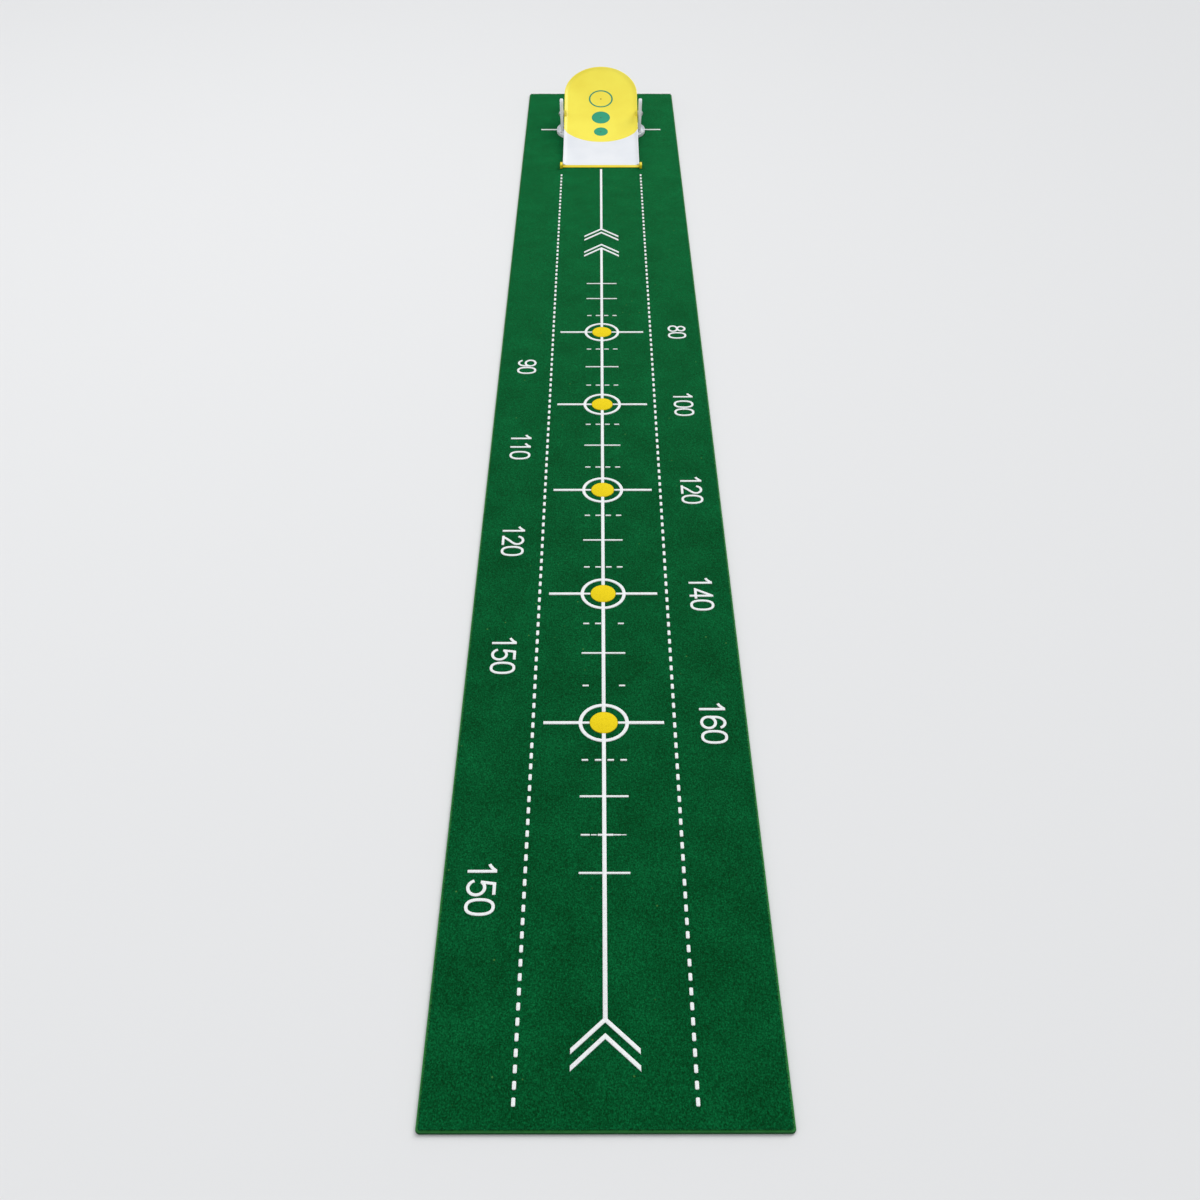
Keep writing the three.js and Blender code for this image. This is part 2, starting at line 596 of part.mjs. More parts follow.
for (const [name, side] of [['left', -1], ['right', 1]]) {
  addPiece(`${name}_arm`, 'white', arm(side));
  addPiece(`${name}_lip_cap`, 'lipYellow', lipCap(side));
  addPiece(`${name}_grip_pad`, 'rubber', gripPad(side));
  onPivot(addPiece(`${name}_pivot_pin`, 'steel', pivotPin()), side);
  onPivot(addPiece(`${name}_pivot_bush`, 'nylon', pivotBush()), side);
  onPivot(addPiece(`${name}_pivot_washer`, 'nylon',
    ring(BUSH_BORE, WASHER_RADIUS, WASHER_FACE, WASHER_FACE + WASHER_THICKNESS)), side);
  onPivot(addPiece(`${name}_ear_insert`, 'brass',
    ring(INSERT_BORE, INSERT_RADIUS, EAR_INSIDE + CLEARANCE, HALF - CLEARANCE)), side);
  for (const [end, step] of [['front', -1], ['rear', 1]]) {
    addPiece(`${name}_arm_screw_${end}`, 'steel', screw(ARM_SCREW_LENGTH, SCREW_HEAD_RADIUS)).position.set(
      side * ARM_AXIS_X, ARM_FOOT_MIDDLE + step * ARM_SCREW_SPACING / 2, BASE_BOTTOM + CLEARANCE);
    const { x, at } = BOARD_SCREWS[end];
    const boardScrew = screw(BOARD_SCREW_LENGTH, FLANGED_HEAD_RADIUS);
    standOnRamp(addPiece(`${name}_board_screw_${end}`, 'steel', boardScrew),
      side * x, at, -DECK - CLEARANCE - SCREW_HEAD_HEIGHT);
  }
}

export default putting_mat;
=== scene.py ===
"""Practice putting mat with its tilting return ramp: surfaces, finishes, stage and camera.

Metres, +Z up, +Y from the putting end towards the ramp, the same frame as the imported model.
"""

import json
import math
import random

import bmesh
import bpy
from mathutils import Matrix, Vector, noise


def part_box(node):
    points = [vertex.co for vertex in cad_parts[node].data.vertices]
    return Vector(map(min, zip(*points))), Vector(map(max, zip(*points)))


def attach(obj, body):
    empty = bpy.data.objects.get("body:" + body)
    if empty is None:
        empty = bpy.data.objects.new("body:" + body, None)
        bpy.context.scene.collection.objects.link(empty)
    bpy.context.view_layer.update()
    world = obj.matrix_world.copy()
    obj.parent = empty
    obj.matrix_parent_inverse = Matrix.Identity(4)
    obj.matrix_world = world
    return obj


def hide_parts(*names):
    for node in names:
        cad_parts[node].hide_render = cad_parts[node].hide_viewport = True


bl_info = {
    "name": "Putting mat and return ramp",
    "version": (1, 0, 0),
    "blender": (4, 5, 0),
    "location": "3D View > Sidebar > Putting Mat",
    "description": "Builds a turf putting mat, its printed marks and its tilting return ramp",
    "category": "Object",
}

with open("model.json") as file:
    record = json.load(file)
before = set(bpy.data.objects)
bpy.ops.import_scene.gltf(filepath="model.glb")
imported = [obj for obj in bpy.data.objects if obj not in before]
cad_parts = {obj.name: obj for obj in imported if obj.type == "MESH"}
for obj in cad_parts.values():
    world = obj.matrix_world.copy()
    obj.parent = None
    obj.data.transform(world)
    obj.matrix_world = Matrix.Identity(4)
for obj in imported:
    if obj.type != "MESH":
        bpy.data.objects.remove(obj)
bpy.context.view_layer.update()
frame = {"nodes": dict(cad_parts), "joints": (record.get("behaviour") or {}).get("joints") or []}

MM = 0.001
NODES = frame["nodes"]
SIDES = (("left", -1), ("right", 1))
BODY_MAT, BODY_BASE, BODY_RAMP = "mat", "trainer_base", "ramp"


def corners_of(node):
    """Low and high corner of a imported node."""
    return [Vector(corner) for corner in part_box(node)]


PIVOT = Vector(next(j["pos_m"] for j in frame["joints"] if j["name"] == "ramp_tilt"))
HOLE_LINE = PIVOT.y
TURF_LOW, TURF_HIGH = corners_of("mat_turf")
BACKING_LOW, BACKING_HIGH = corners_of("mat_backing")
SHELL_LOW, SHELL_HIGH = corners_of("ramp_shell")
LIP_LOW, LIP_HIGH = corners_of("front_lip")
TRAY_LOW, TRAY_HIGH = corners_of("base_tray")
TURF_TOP = TURF_HIGH.z
HALF = SHELL_HIGH.x


# ---------------------------------------------------------------- settings


def in_mm(name, description, millimetres):
    """A length setting, with its default in millimetres."""
    return bpy.props.FloatProperty(
        name=name, description=description, default=millimetres * MM, unit="LENGTH")


def colour(name, description, hex_value):
    """A colour setting, kept as an sRGB hex value."""
    return bpy.props.StringProperty(name=name, description=description, default=hex_value)


class PUTTING_PG_ramp(bpy.types.PropertyGroup):
    """Sizes of the ramp and its base"""

    curve: bpy.props.FloatProperty(
        name="Curve", description="Rise over the square of the run, per metre", default=0.87)
    start: in_mm("Start height", "Surface above the turf at the ramp's front", 2.8)
    length: in_mm("Length", "Ramp's length along its surface", 314.5)
    deck: in_mm("Deck", "Shell and board together", 4.3)
    board: in_mm("Board", "Thickness of the yellow board", 2)
    seam: in_mm("Seam", "Gap between the board and the shell", 0.3)
    arc_seam: in_mm("Arc seam", "Gap along the board's front arc", 0.06)
    board_front: in_mm("Board front", "Where the board starts on the middle line", 93)
    board_corners: in_mm("Board corners", "Where the board starts at the sides", 133)
    rail_width: in_mm("Rail width", "Width of the side rails and rim", 4.5)
    rim_top: in_mm("Rim top", "Flat top of the rounded rim", 1.4)
    rim_cove: in_mm("Rim cove", "Width of the hollow inside the rim", 8)
    rim_height: in_mm("Rim height", "Height of the rim at the sides", 3)
    skirt_width: in_mm("Skirt width", "Wall of the shell's underside", 2.5)
    skirt_depth: in_mm("Skirt depth", "Skirt below the surface", 8.5)
    ear_radius: in_mm("Ear radius", "Pivot ears on the board", 7.6)
    ear_bore: in_mm("Ear bore", "Hole in each ear", 4.3)
    ring_at: in_mm("Ring place", "Ring's centre along the surface", 228)
    ring_radius: in_mm("Ring radius", "Outer radius of the ring", 24.25)
    ring_line: in_mm("Ring line", "Width of the ring's line", 3)
    middle_at: in_mm("Middle target place", "Its centre along the surface", 173)
    middle_radius: in_mm("Middle target radius", "Radius of the middle disc", 18.3)
    small_at: in_mm("Small target place", "Its centre along the surface", 128)
    small_radius: in_mm("Small target radius", "Radius of the small disc", 13.8)


class PUTTING_PG_print(bpy.types.PropertyGroup):
    """Sizes of the marks printed on the turf"""

    proud: in_mm("Proud", "Height of the flocked print above the pile", 0.7)
    hole_line_from: in_mm("Hole line start", "Middle line to the hole line's inner end", 80)
    hole_line_to: in_mm("Hole line end", "Middle line to the hole line's outer end", 121)
    hole_line_width: in_mm("Hole line width", "Width of the hole line", 4.2)
    arrow_half: in_mm("Arrow half width", "Half the width of an arrowhead", 29.6)
    arrow_width: in_mm("Arrow line width", "Line width of an arrowhead", 3.7)
    centre_width: in_mm("Centre line width", "Width of the centre line", 4.1)
    tick_length: in_mm("Tick length", "Length of a distance tick", 49)
    tick_width: in_mm("Tick width", "Width of a distance tick", 2.3)
    crossbar: in_mm("Crossbar length", "Whole length of a target's crossbar", 128)
    ring_radius: in_mm("Target ring radius", "Outer radius of a printed ring", 26.7)
    ring_line: in_mm("Target ring line", "Line width of a printed ring", 3.9)
    spot_radius: in_mm("Spot radius", "Radius of a yellow spot", 14.8)
    lane_half: in_mm("Lane half width", "Middle line to a dashed lane line", 75)
    dash_length: in_mm("Dash length", "Length of a lane dash", 7.4)
    dash_width: in_mm("Dash width", "Width of a lane dash", 3.3)
    dash_pitch: in_mm("Dash pitch", "From dash to dash", 14)
    digit_height: in_mm("Digit height", "Height of the distance numbers", 28)
    digit_advance: in_mm("Digit advance", "Length that each digit takes", 20.1)
    digit_stroke: in_mm("Digit stroke", "Line width of the numbers", 3.1)


class PUTTING_PG_colours(bpy.types.PropertyGroup):
    """Colours of the finishes, as sRGB hex values"""

    turf_dark: colour("Turf, shaded", "Between fibres", "#00300f")
    turf_mid: colour("Turf", "Most of the pile", "#004520")
    turf_light: colour("Turf, lit", "Fibre tips", "#086a38")
    turf_straw: colour("Straw", "Rare pale fibres", "#5c8a42")
    backing: colour("Backing", "Foam rubber", "#2f7d3b")
    # Painted shade: this darker green, given to the backing's front and rear faces, stands in for shade
    # and is not a colour of the foam.
    backing_end_shade: colour("Backing, painted end shade", "Painted shade on the ends", "#114a22")
    flock: colour("Print", "White print", "#f1f2f2")
    spot: colour("Spots", "Yellow print", "#edd21b")
    white: colour("White plastic", "Moulded ABS", "#e8eaee")
    yellow: colour("Yellow plastic", "Moulded ABS", "#faeb50")
    lip: colour("Lip", "Soft plastic", "#f7df12")
    teal: colour("Teal", "Inlay fill", "#2f9f7b")
    teal_rim: colour("Teal edge", "Inlay edge", "#109475")


# ---------------------------------------------------------------- materials


def linear(hex_colour):
    """An sRGB hex value as linear RGBA."""
    channels = [int(hex_colour[i:i + 2], 16) / 255 for i in (1, 3, 5)]
    return [c / 12.92 if c <= 0.04045 else ((c + 0.055) / 1.055) ** 2.4 for c in channels] + [1.0]


def add(tree, kind, inputs=None, **settings):
    """Adds a node with its settings; an input is given as a value or as the socket that feeds it."""
    made = tree.nodes.new(kind)
    for name, value in settings.items():
        setattr(made, name, value)
    for name, value in (inputs or {}).items():
        if isinstance(value, bpy.types.NodeSocket):
            tree.links.new(value, made.inputs[name])
        else:
            made.inputs[name].default_value = value
    return made


def material(name, values):
    """A material with the values on its shader, and its tree, shader and object coordinates."""
    made = bpy.data.materials.new(name)
    made.use_nodes = True
    tree = made.node_tree
    tree.nodes.clear()
    shader = add(tree, "ShaderNodeBsdfPrincipled", values)
    add(tree, "ShaderNodeOutputMaterial", {"Surface": shader.outputs[0]})
    place = add(tree, "ShaderNodeTexCoord").outputs["Object"]
    return made, tree, shader, place


def stops(tree, factor, *pairs):
    """A colour ramp with the given places and hex colours."""
    made = add(tree, "ShaderNodeValToRGB", {"Fac": factor})
    elements = made.color_ramp.elements
    while len(elements) < len(pairs):
        elements.new(0.5)
    for element, (at, colour) in zip(elements, pairs):
        element.position = at
        element.color = linear(colour)
    return made.outputs["Color"]


def strands(tree, place, width, length, turn, warp):
    """Noise drawn out along one direction, so it reads as lying fibres width by length metres."""
    bent = add(tree, "ShaderNodeVectorMath", {0: place, 1: warp}, operation="ADD").outputs[0]
    laid = add(tree, "ShaderNodeMapping", {
        "Vector": bent, "Rotation": (0, 0, turn), "Scale": (1 / width, 1 / length, 1 / width)})
    return add(tree, "ShaderNodeTexNoise", {
        "Vector": laid.outputs[0], "Scale": 1.0, "Detail": 2.0, "Roughness": 0.6}).outputs["Fac"]


def needled_turf():
    """Needle-punched nylon turf: matt, mottled green felt of lying fibres about 0.7 mm wide."""
    colours = bpy.context.scene.putting_colours
    made, tree, shader, place = material("nylon_turf_needled", {
        "Roughness": 0.95, "Specular IOR Level": 0.05, "Sheen Weight": 0.8, "Sheen Roughness": 0.45,
        "Sheen Tint": linear("#20b060")})
    wander = add(tree, "ShaderNodeTexNoise", {"Vector": place, "Scale": 220.0, "Detail": 1.0})
    warp = add(tree, "ShaderNodeVectorMath", {
        0: wander.outputs["Color"], "Scale": 3 * MM}, operation="SCALE").outputs[0]
    height = None
    for turn in (0.4, 1.5, 2.5):
        fibre = strands(tree, place, 0.8 * MM, 3.4 * MM, turn, warp)
        height = fibre if height is None else add(
            tree, "ShaderNodeMath", {0: height, 1: fibre}, operation="MAXIMUM").outputs[0]
    # Tufts about 1.6 mm across, then patches a few centimetres wide where the pile was brushed;
    # the subtraction brings the mean tone back to the middle green.
    tufts = add(tree, "ShaderNodeTexNoise", {"Vector": place, "Scale": 1 / (1.6 * MM), "Detail": 2.0})
    patches = add(tree, "ShaderNodeTexNoise", {"Vector": place, "Scale": 20.0, "Detail": 4.0})
    tone = add(tree, "ShaderNodeMath", {
        0: tufts.outputs["Fac"], 1: 0.75, 2: height}, operation="MULTIPLY_ADD").outputs[0]
    tone = add(tree, "ShaderNodeMath", {
        0: patches.outputs["Fac"], 1: 0.3, 2: tone}, operation="MULTIPLY_ADD").outputs[0]
    tone = add(tree, "ShaderNodeMath", {0: tone, 1: 0.09}, operation="SUBTRACT").outputs[0]
    pile = stops(tree, tone, (0.82, colours.turf_dark), (0.97, colours.turf_mid), (1.0, colours.turf_mid))
    pile = add(tree, "ShaderNodeMix", {
        "Factor": add(tree, "ShaderNodeMapRange", {
            "Value": tone, "From Min": 0.99, "From Max": 1.28}).outputs[0],
        6: pile, 7: linear(colours.turf_light)}, data_type="RGBA").outputs[2]
    specks = add(tree, "ShaderNodeTexVoronoi", {"Vector": place, "Scale": 1 / (22 * MM)})
    speck = add(tree, "ShaderNodeMapRange", {
        "Value": specks.outputs["Distance"], "From Min": 0.02, "From Max": 0.055,
        "To Min": 0.6, "To Max": 0.0})
    mixed = add(tree, "ShaderNodeMix", {
        "Factor": speck.outputs[0], 6: pile, 7: linear(colours.turf_straw)}, data_type="RGBA")
    tree.links.new(mixed.outputs[2], shader.inputs["Base Color"])
    bump = add(tree, "ShaderNodeBump", {"Height": tone, "Strength": 0.6, "Distance": 0.8 * MM})
    tree.links.new(bump.outputs[0], shader.inputs["Normal"])
    return made


def loose_fibre():
    """Cut nylon fibre ends: the turf's own greens, matt, so the edge of the pile looks soft."""
    colours = bpy.context.scene.putting_colours
    made, tree, shader, place = material("nylon_fibre_cut", {
        "Roughness": 0.8, "Specular IOR Level": 0.1})
    vary = add(tree, "ShaderNodeTexNoise", {"Vector": place, "Scale": 420.0, "Detail": 1.0})
    tint = stops(tree, vary.outputs["Fac"], (0.35, colours.turf_dark), (0.52, colours.turf_mid),
                 (0.68, colours.turf_light))
    tree.links.new(tint, shader.inputs["Base Color"])
    return made


def foam_backing():
    """Green foam rubber, calendered smooth on top; its faces at the mat's front and rear ends get a darker
    green, painted shade standing in for the shade those faces are in.
    """
    colours = bpy.context.scene.putting_colours
    made, tree, shader, place = material("foam_rubber_calendered", {
        "Roughness": 0.72, "Specular IOR Level": 0.2})
    cells = add(tree, "ShaderNodeTexVoronoi", {"Vector": place, "Scale": 1 / (0.8 * MM)})
    cloud = add(tree, "ShaderNodeTexNoise", {"Vector": place, "Scale": 45.0, "Detail": 4.0})
    tint = stops(tree, cloud.outputs["Fac"], (0.3, "#277a33"), (0.7, colours.backing))
    # Painted shade: faces turned towards the front or rear take the darker green, standing in for the
    # shade on the mat's ends. The mask named cut carries this painted shade.
    facing = add(tree, "ShaderNodeSeparateXYZ", {
        0: add(tree, "ShaderNodeTexCoord").outputs["Normal"]}).outputs["Y"]
    cut = add(tree, "ShaderNodeMapRange", {
        "Value": add(tree, "ShaderNodeMath", {0: facing}, operation="ABSOLUTE").outputs[0],
        "From Min": 0.05, "From Max": 0.6}).outputs[0]
    tint = add(tree, "ShaderNodeMix", {
        "Factor": cut, 6: tint, 7: linear(colours.backing_end_shade)}, data_type="RGBA").outputs[2]
    tree.links.new(tint, shader.inputs["Base Color"])
    bump = add(tree, "ShaderNodeBump", {
        "Height": cells.outputs["Distance"], "Strength": 0.25, "Distance": 0.2 * MM})
    tree.links.new(bump.outputs[0], shader.inputs["Normal"])
    return made


def flocked(name, colour, shade):
    """Flock print on turf: matt and slightly fuzzy, with pinholes where the green pile shows less ink."""
    made, tree, shader, place = material(name, {"Roughness": 0.9, "Specular IOR Level": 0.1})
    grain = add(tree, "ShaderNodeTexNoise", {"Vector": place, "Scale": 1 / (0.7 * MM), "Detail": 3.0})
    tint = stops(tree, grain.outputs["Fac"], (0.32, shade), (0.5, colour))
    tree.links.new(tint, shader.inputs["Base Color"])
    bump = add(tree, "ShaderNodeBump", {
        "Height": grain.outputs["Fac"], "Strength": 0.5, "Distance": 0.35 * MM})
    tree.links.new(bump.outputs[0], shader.inputs["Normal"])
    return made


def moulded(name, colour, shade, roughness, grain_mm=0.5, shine=0.5):
    """Moulded thermoplastic: even colour, fine spark-eroded grain, softly uneven gloss."""
    made, tree, shader, place = material(name, {"IOR": 1.53, "Specular IOR Level": shine})
    flow = add(tree, "ShaderNodeTexNoise", {"Vector": place, "Scale": 14.0, "Detail": 3.0})
    tint = stops(tree, flow.outputs["Fac"], (0.3, shade), (0.6, colour))
    tree.links.new(tint, shader.inputs["Base Color"])
    gloss = add(tree, "ShaderNodeMapRange", {
        "Value": flow.outputs["Fac"], "To Min": roughness + 0.06, "To Max": roughness - 0.06})
    tree.links.new(gloss.outputs[0], shader.inputs["Roughness"])
    grain = add(tree, "ShaderNodeTexNoise", {
        "Vector": place, "Scale": 1 / (grain_mm * MM), "Detail": 2.0})
    bump = add(tree, "ShaderNodeBump", {
        "Height": grain.outputs["Fac"], "Strength": 0.12, "Distance": 0.08 * MM})
    tree.links.new(bump.outputs[0], shader.inputs["Normal"])
    return made


def metal(name, colour, shade, roughness):
    """Turned metal: fine rings of tool marks give a streaked highlight."""
    made, tree, shader, place = material(name, {"Metallic": 1.0})
    marks = add(tree, "ShaderNodeTexNoise", {"Vector": place, "Scale": 1 / (0.4 * MM), "Detail": 3.0})
    tint = stops(tree, marks.outputs["Fac"], (0.3, shade), (0.65, colour))
    tree.links.new(tint, shader.inputs["Base Color"])
    rough = add(tree, "ShaderNodeMapRange", {
        "Value": marks.outputs["Fac"], "To Min": roughness - 0.08, "To Max": roughness + 0.12})
    tree.links.new(rough.outputs[0], shader.inputs["Roughness"])
    return made


MATERIALS = {}


def make_materials():
    """Makes every finish once, under the word that the pieces ask for it by."""
    colours = bpy.context.scene.putting_colours
    MATERIALS.update({
        "turf": needled_turf(),
        "fibre": loose_fibre(),
        "backing": foam_backing(),
        "flock": flocked("flock_print_white", colours.flock, "#cfd5d3"),
        "spot": flocked("flock_print_yellow", colours.spot, "#d3b90f"),
        "white": moulded("abs_white_moulded", colours.white, "#dfe2e7", 0.5, shine=0.25),
        "yellow": moulded("abs_yellow_moulded", colours.yellow, "#f3e045", 0.42, shine=0.25),
        "lip": moulded("tpe_yellow_moulded", colours.lip, "#e6cc08", 0.5),
        "teal": moulded("acrylic_teal_pad_printed", colours.teal, "#259572", 0.6, shine=0.15),
        "teal_rim": moulded("acrylic_teal_edge_printed", colours.teal_rim, "#0c8a6c", 0.6, shine=0.15),
        "nylon": moulded("nylon_natural_turned", "#dfe0dc", "#cfd0cb", 0.5),
        "rubber": moulded("rubber_black_moulded", "#2c2e2f", "#1f2122", 0.8, grain_mm=1.2),
        "brass": metal("brass_aged_turned", "#6d5a22", "#4a3a14", 0.55),
        "steel": metal("steel_zinc_plated_turned", "#b7babd", "#8f9396", 0.3),
    })


# ---------------------------------------------------------------- shaping


def rectangle(bm, low, high, z):
    """A flat face from one corner to the other at a height."""
    size = Vector(high) - Vector(low)
    middle = (Vector(high) + Vector(low)) / 2
    place = Matrix.Translation((middle.x, middle.y, z)) @ Matrix.Diagonal((size.x, size.y, 1, 1))
    made = bmesh.ops.create_grid(bm, x_segments=1, y_segments=1, size=0.5, matrix=place)
    return made["verts"]


def round_corners(bm, verts, radius, steps):
    """Rounds the corners of a flat face; a radius of half its side leaves a full half round."""
    bmesh.ops.bevel(bm, geom=verts, offset=radius, offset_type="OFFSET", segments=steps,
                    profile=0.5, affect="VERTICES", material=-1)
    bmesh.ops.remove_doubles(bm, verts=bm.verts, dist=0.05 * MM)


def raise_faces(bm, faces, step):
    """Extrudes faces by a step and returns the moved ones."""
    made = bmesh.ops.extrude_face_region(bm, geom=faces)["geom"]
    verts = [g for g in made if isinstance(g, bmesh.types.BMVert)]
    bmesh.ops.translate(bm, verts=verts, vec=step)
    return [g for g in made if isinstance(g, bmesh.types.BMFace)]


def thicken(bm, height):
    """Turns a flat face into a closed plate that rises by a height; returns its top faces."""
    faces = list(bm.faces)
    top = raise_faces(bm, faces, (0, 0, height))
    bmesh.ops.recalc_face_normals(bm, faces=bm.faces)
    return top


def soften(bm, width, segments, least=math.radians(40), keep=None):
    """Bevels the edges that are sharper than an angle."""
    bm.normal_update()
    sharp = [e for e in bm.edges if e.is_manifold and e.calc_face_angle(0) > least
             and (keep is None or keep(e))]
    bmesh.ops.bevel(bm, geom=sharp, offset=width, offset_type="OFFSET", segments=segments,
                    profile=0.5, affect="EDGES", material=-1, clamp_overlap=True)


def cut_across(bm, place, normal):
    """Cuts every face that a plane crosses."""
    bmesh.ops.bisect_plane(bm, geom=bm.verts[:] + bm.edges[:] + bm.faces[:], dist=1e-7,
                           plane_co=place, plane_no=normal)


def slice_along(bm, start, end, step, axis=(0, 1, 0)):
    """Cuts faces across an axis at even steps, so that they can be bent."""
    count = max(1, round((end - start) / step))
    for i in range(1, count):
        cut_across(bm, Vector(axis) * (start + (end - start) * i / count), axis)


def run_at(length):
    """Level distance from the ramp's front for a length along its surface."""
    curve = bpy.context.scene.putting_ramp.curve
    run = length
    for _ in range(8):
        slope = 2 * curve * run
        covered = run / 2 * math.hypot(1, slope) + math.asinh(slope) / (4 * curve)
        run -= (covered - length) / math.hypot(1, slope)
    return run


def on_ramp(x, length, lift=0.0):
    """A point on the ramp, a length along it and a lift square to its surface."""
    sizes = bpy.context.scene.putting_ramp
    run = run_at(length)
    slope = math.atan(2 * sizes.curve * run)
    return Vector((x, SHELL_LOW.y + run - lift * math.sin(slope),
                   TURF_TOP + sizes.start + sizes.curve * run * run + lift * math.cos(slope)))


def bend(bm):
    """Lays a flat shape, drawn as across, along and lift, on the ramp's curve."""
    for vert in bm.verts:
        vert.co = on_ramp(*vert.co)
        vert.co.z = max(vert.co.z, SHELL_LOW.z)


def as_mesh(name, bm):
    """Moves a shape into a new mesh."""
    mesh = bpy.data.meshes.new(name)
    bm.to_mesh(mesh)
    bm.free()
    return mesh


def put(name, data):
    """Links a new object for a mesh, lamp or camera."""
    made = bpy.data.objects.new(name, data)
    bpy.context.scene.collection.objects.link(made)
    return made


def combine(first, second, operation):
    """Joins or cuts two closed shapes and returns the result, which has to be closed as well."""
    holders = []
    before, tool = first.calc_volume(), second.calc_volume()
    for source in (first, second):
        bmesh.ops.recalc_face_normals(source, faces=source.faces)
        holders.append(put("shape", as_mesh("shape", source)))
    cut = holders[0].modifiers.new("combine", "BOOLEAN")
    cut.operation = operation
    cut.solver = "EXACT"
    cut.object = holders[1]
    bpy.context.view_layer.update()
    result = bmesh.new()
    result.from_object(holders[0], bpy.context.evaluated_depsgraph_get())
    change = (result.calc_volume() - before) * (1 if operation == "UNION" else -1)
    gaps = sum(not e.is_manifold for e in result.edges)
    if gaps or not 0 < change < tool * 1.001:
        raise RuntimeError(f"{operation.lower()} left {gaps} gaps and {change / MM ** 3:.1f} mm3")
    for holder in holders:
        mesh = holder.data
        bpy.data.objects.remove(holder)
        bpy.data.meshes.remove(mesh)
    return result


def rod(radius, low, high, centre, axis="X", sides=48, edge=0.0):
    """A cylinder along X or Z between two places on that axis, with its edges softened."""
    bm = bmesh.new()
    bmesh.ops.create_cone(bm, cap_ends=True, segments=sides, radius1=radius, radius2=radius,
                          depth=high - low)
    if edge:
        soften(bm, edge, 3)
    if axis == "X":
        bmesh.ops.rotate(bm, verts=bm.verts, matrix=Matrix.Rotation(math.pi / 2, 3, "Y"))
        shift = Vector(((low + high) / 2, centre[0], centre[1]))
    else:
        shift = Vector((centre[0], centre[1], (low + high) / 2))
    bmesh.ops.translate(bm, verts=bm.verts, vec=shift)
    return bm


def ear_rod(side, radius, inner, outer, edge=0.0):
    """A rod on the pivot axis at one side, between two distances from the middle."""
    low, high = sorted((side * inner, side * outer))
    return rod(radius, low, high, (PIVOT.y, PIVOT.z), edge=edge)


def finish_piece(name, bm, finishes, body, replaced=(), smooth=math.radians(35)):
    """Makes a shape an object with its finishes, smooth shading, body and replaced nodes."""
    mesh = as_mesh(name, bm)
    piece = put(name, mesh)
    for finish in finishes:
        mesh.materials.append(MATERIALS[finish])
    mesh.shade_smooth()
    mesh.set_sharp_from_angle(angle=smooth)
    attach(piece, body)
    if replaced:
        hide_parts(*replaced)
    return piece


# ---------------------------------------------------------------- mat


class PUTTING_OT_materials(bpy.types.Operator):
    """Make every finish"""

    bl_idname = "putting.materials"
    bl_label = "Finishes"

    def execute(self, context):
        make_materials()
        return {"FINISHED"}


class PUTTING_OT_backing(bpy.types.Operator):
    """Build the foam backing, whose softened edge shows round the turf"""

    bl_idname = "putting.backing"
    bl_label = "Mat backing"

    def execute(self, context):
        bm = bmesh.new()
        corners = rectangle(bm, BACKING_LOW.xy, BACKING_HIGH.xy, BACKING_LOW.z)
        round_corners(bm, corners, 4 * MM, 8)
        thicken(bm, BACKING_HIGH.z - BACKING_LOW.z)
        soften(bm, 1.2 * MM, 5)
        finish_piece("mat_backing_sheet", bm, ["backing"], BODY_MAT, ["mat_backing"])
        return {"FINISHED"}


class PUTTING_OT_turf(bpy.types.Operator):
    """Build the turf with its gently uneven pile"""

    bl_idname = "putting.turf"
    bl_label = "Turf"

    def execute(self, context):
        cell = 5 * MM
        uneven = 0.22 * MM
        size = TURF_HIGH - TURF_LOW
        bm = bmesh.new()
        place = Matrix.Translation((0, (TURF_LOW.y + TURF_HIGH.y) / 2, TURF_TOP - uneven))
        bmesh.ops.create_grid(
            bm, x_segments=round(size.x / cell), y_segments=round(size.y / cell), size=0.5,
            matrix=place @ Matrix.Diagonal((size.x, size.y, 1, 1)))
        for vert in bm.verts:
            spot = Vector((vert.co.x / (28 * MM), vert.co.y / (28 * MM), 0))
            vert.co.z += uneven * noise.noise(spot) + 0.5 * uneven * noise.noise(spot * 3.7)
        rim = [e for e in bm.edges if e.is_boundary]
        walls = bmesh.ops.extrude_edge_only(bm, edges=rim)["geom"]
        for vert in (g for g in walls if isinstance(g, bmesh.types.BMVert)):
            vert.co.z = TURF_LOW.z
        bmesh.ops.holes_fill(bm, edges=[e for e in bm.edges if e.is_boundary], sides=0)
        bmesh.ops.recalc_face_normals(bm, faces=bm.faces)
        piece = finish_piece("turf_pile", bm, ["turf"], BODY_MAT, ["mat_turf"])
        return {"FINISHED"}


def blade(bm, x, y, z, heading, length, width, rise):
    """One fibre: a tapered sliver that lies along a heading and curls up at its tip."""
    along = Vector((math.cos(heading), math.sin(heading), 0))
    across = Vector((-along.y, along.x, 0)) * width / 2
    root = Vector((x, y, z))
    middle = root + along * length * 0.55 + Vector((0, 0, rise * 0.6))
    tip = root + along * length + Vector((0, 0, rise))
    corners = [bm.verts.new(p) for p in (root - across, root + across, middle + across * 0.8,
                                         middle - across * 0.8, tip)]
    bm.faces.new(corners[:4])
    bm.faces.new((corners[3], corners[2], corners[4]))


def repeat(piece, name, count, step):
    """Repeats a piece's mesh in a row."""
    row = piece.modifiers.new(name, "ARRAY")
    row.use_relative_offset = False
    row.use_constant_offset = True
    row.constant_offset_displace = step
    row.count = count


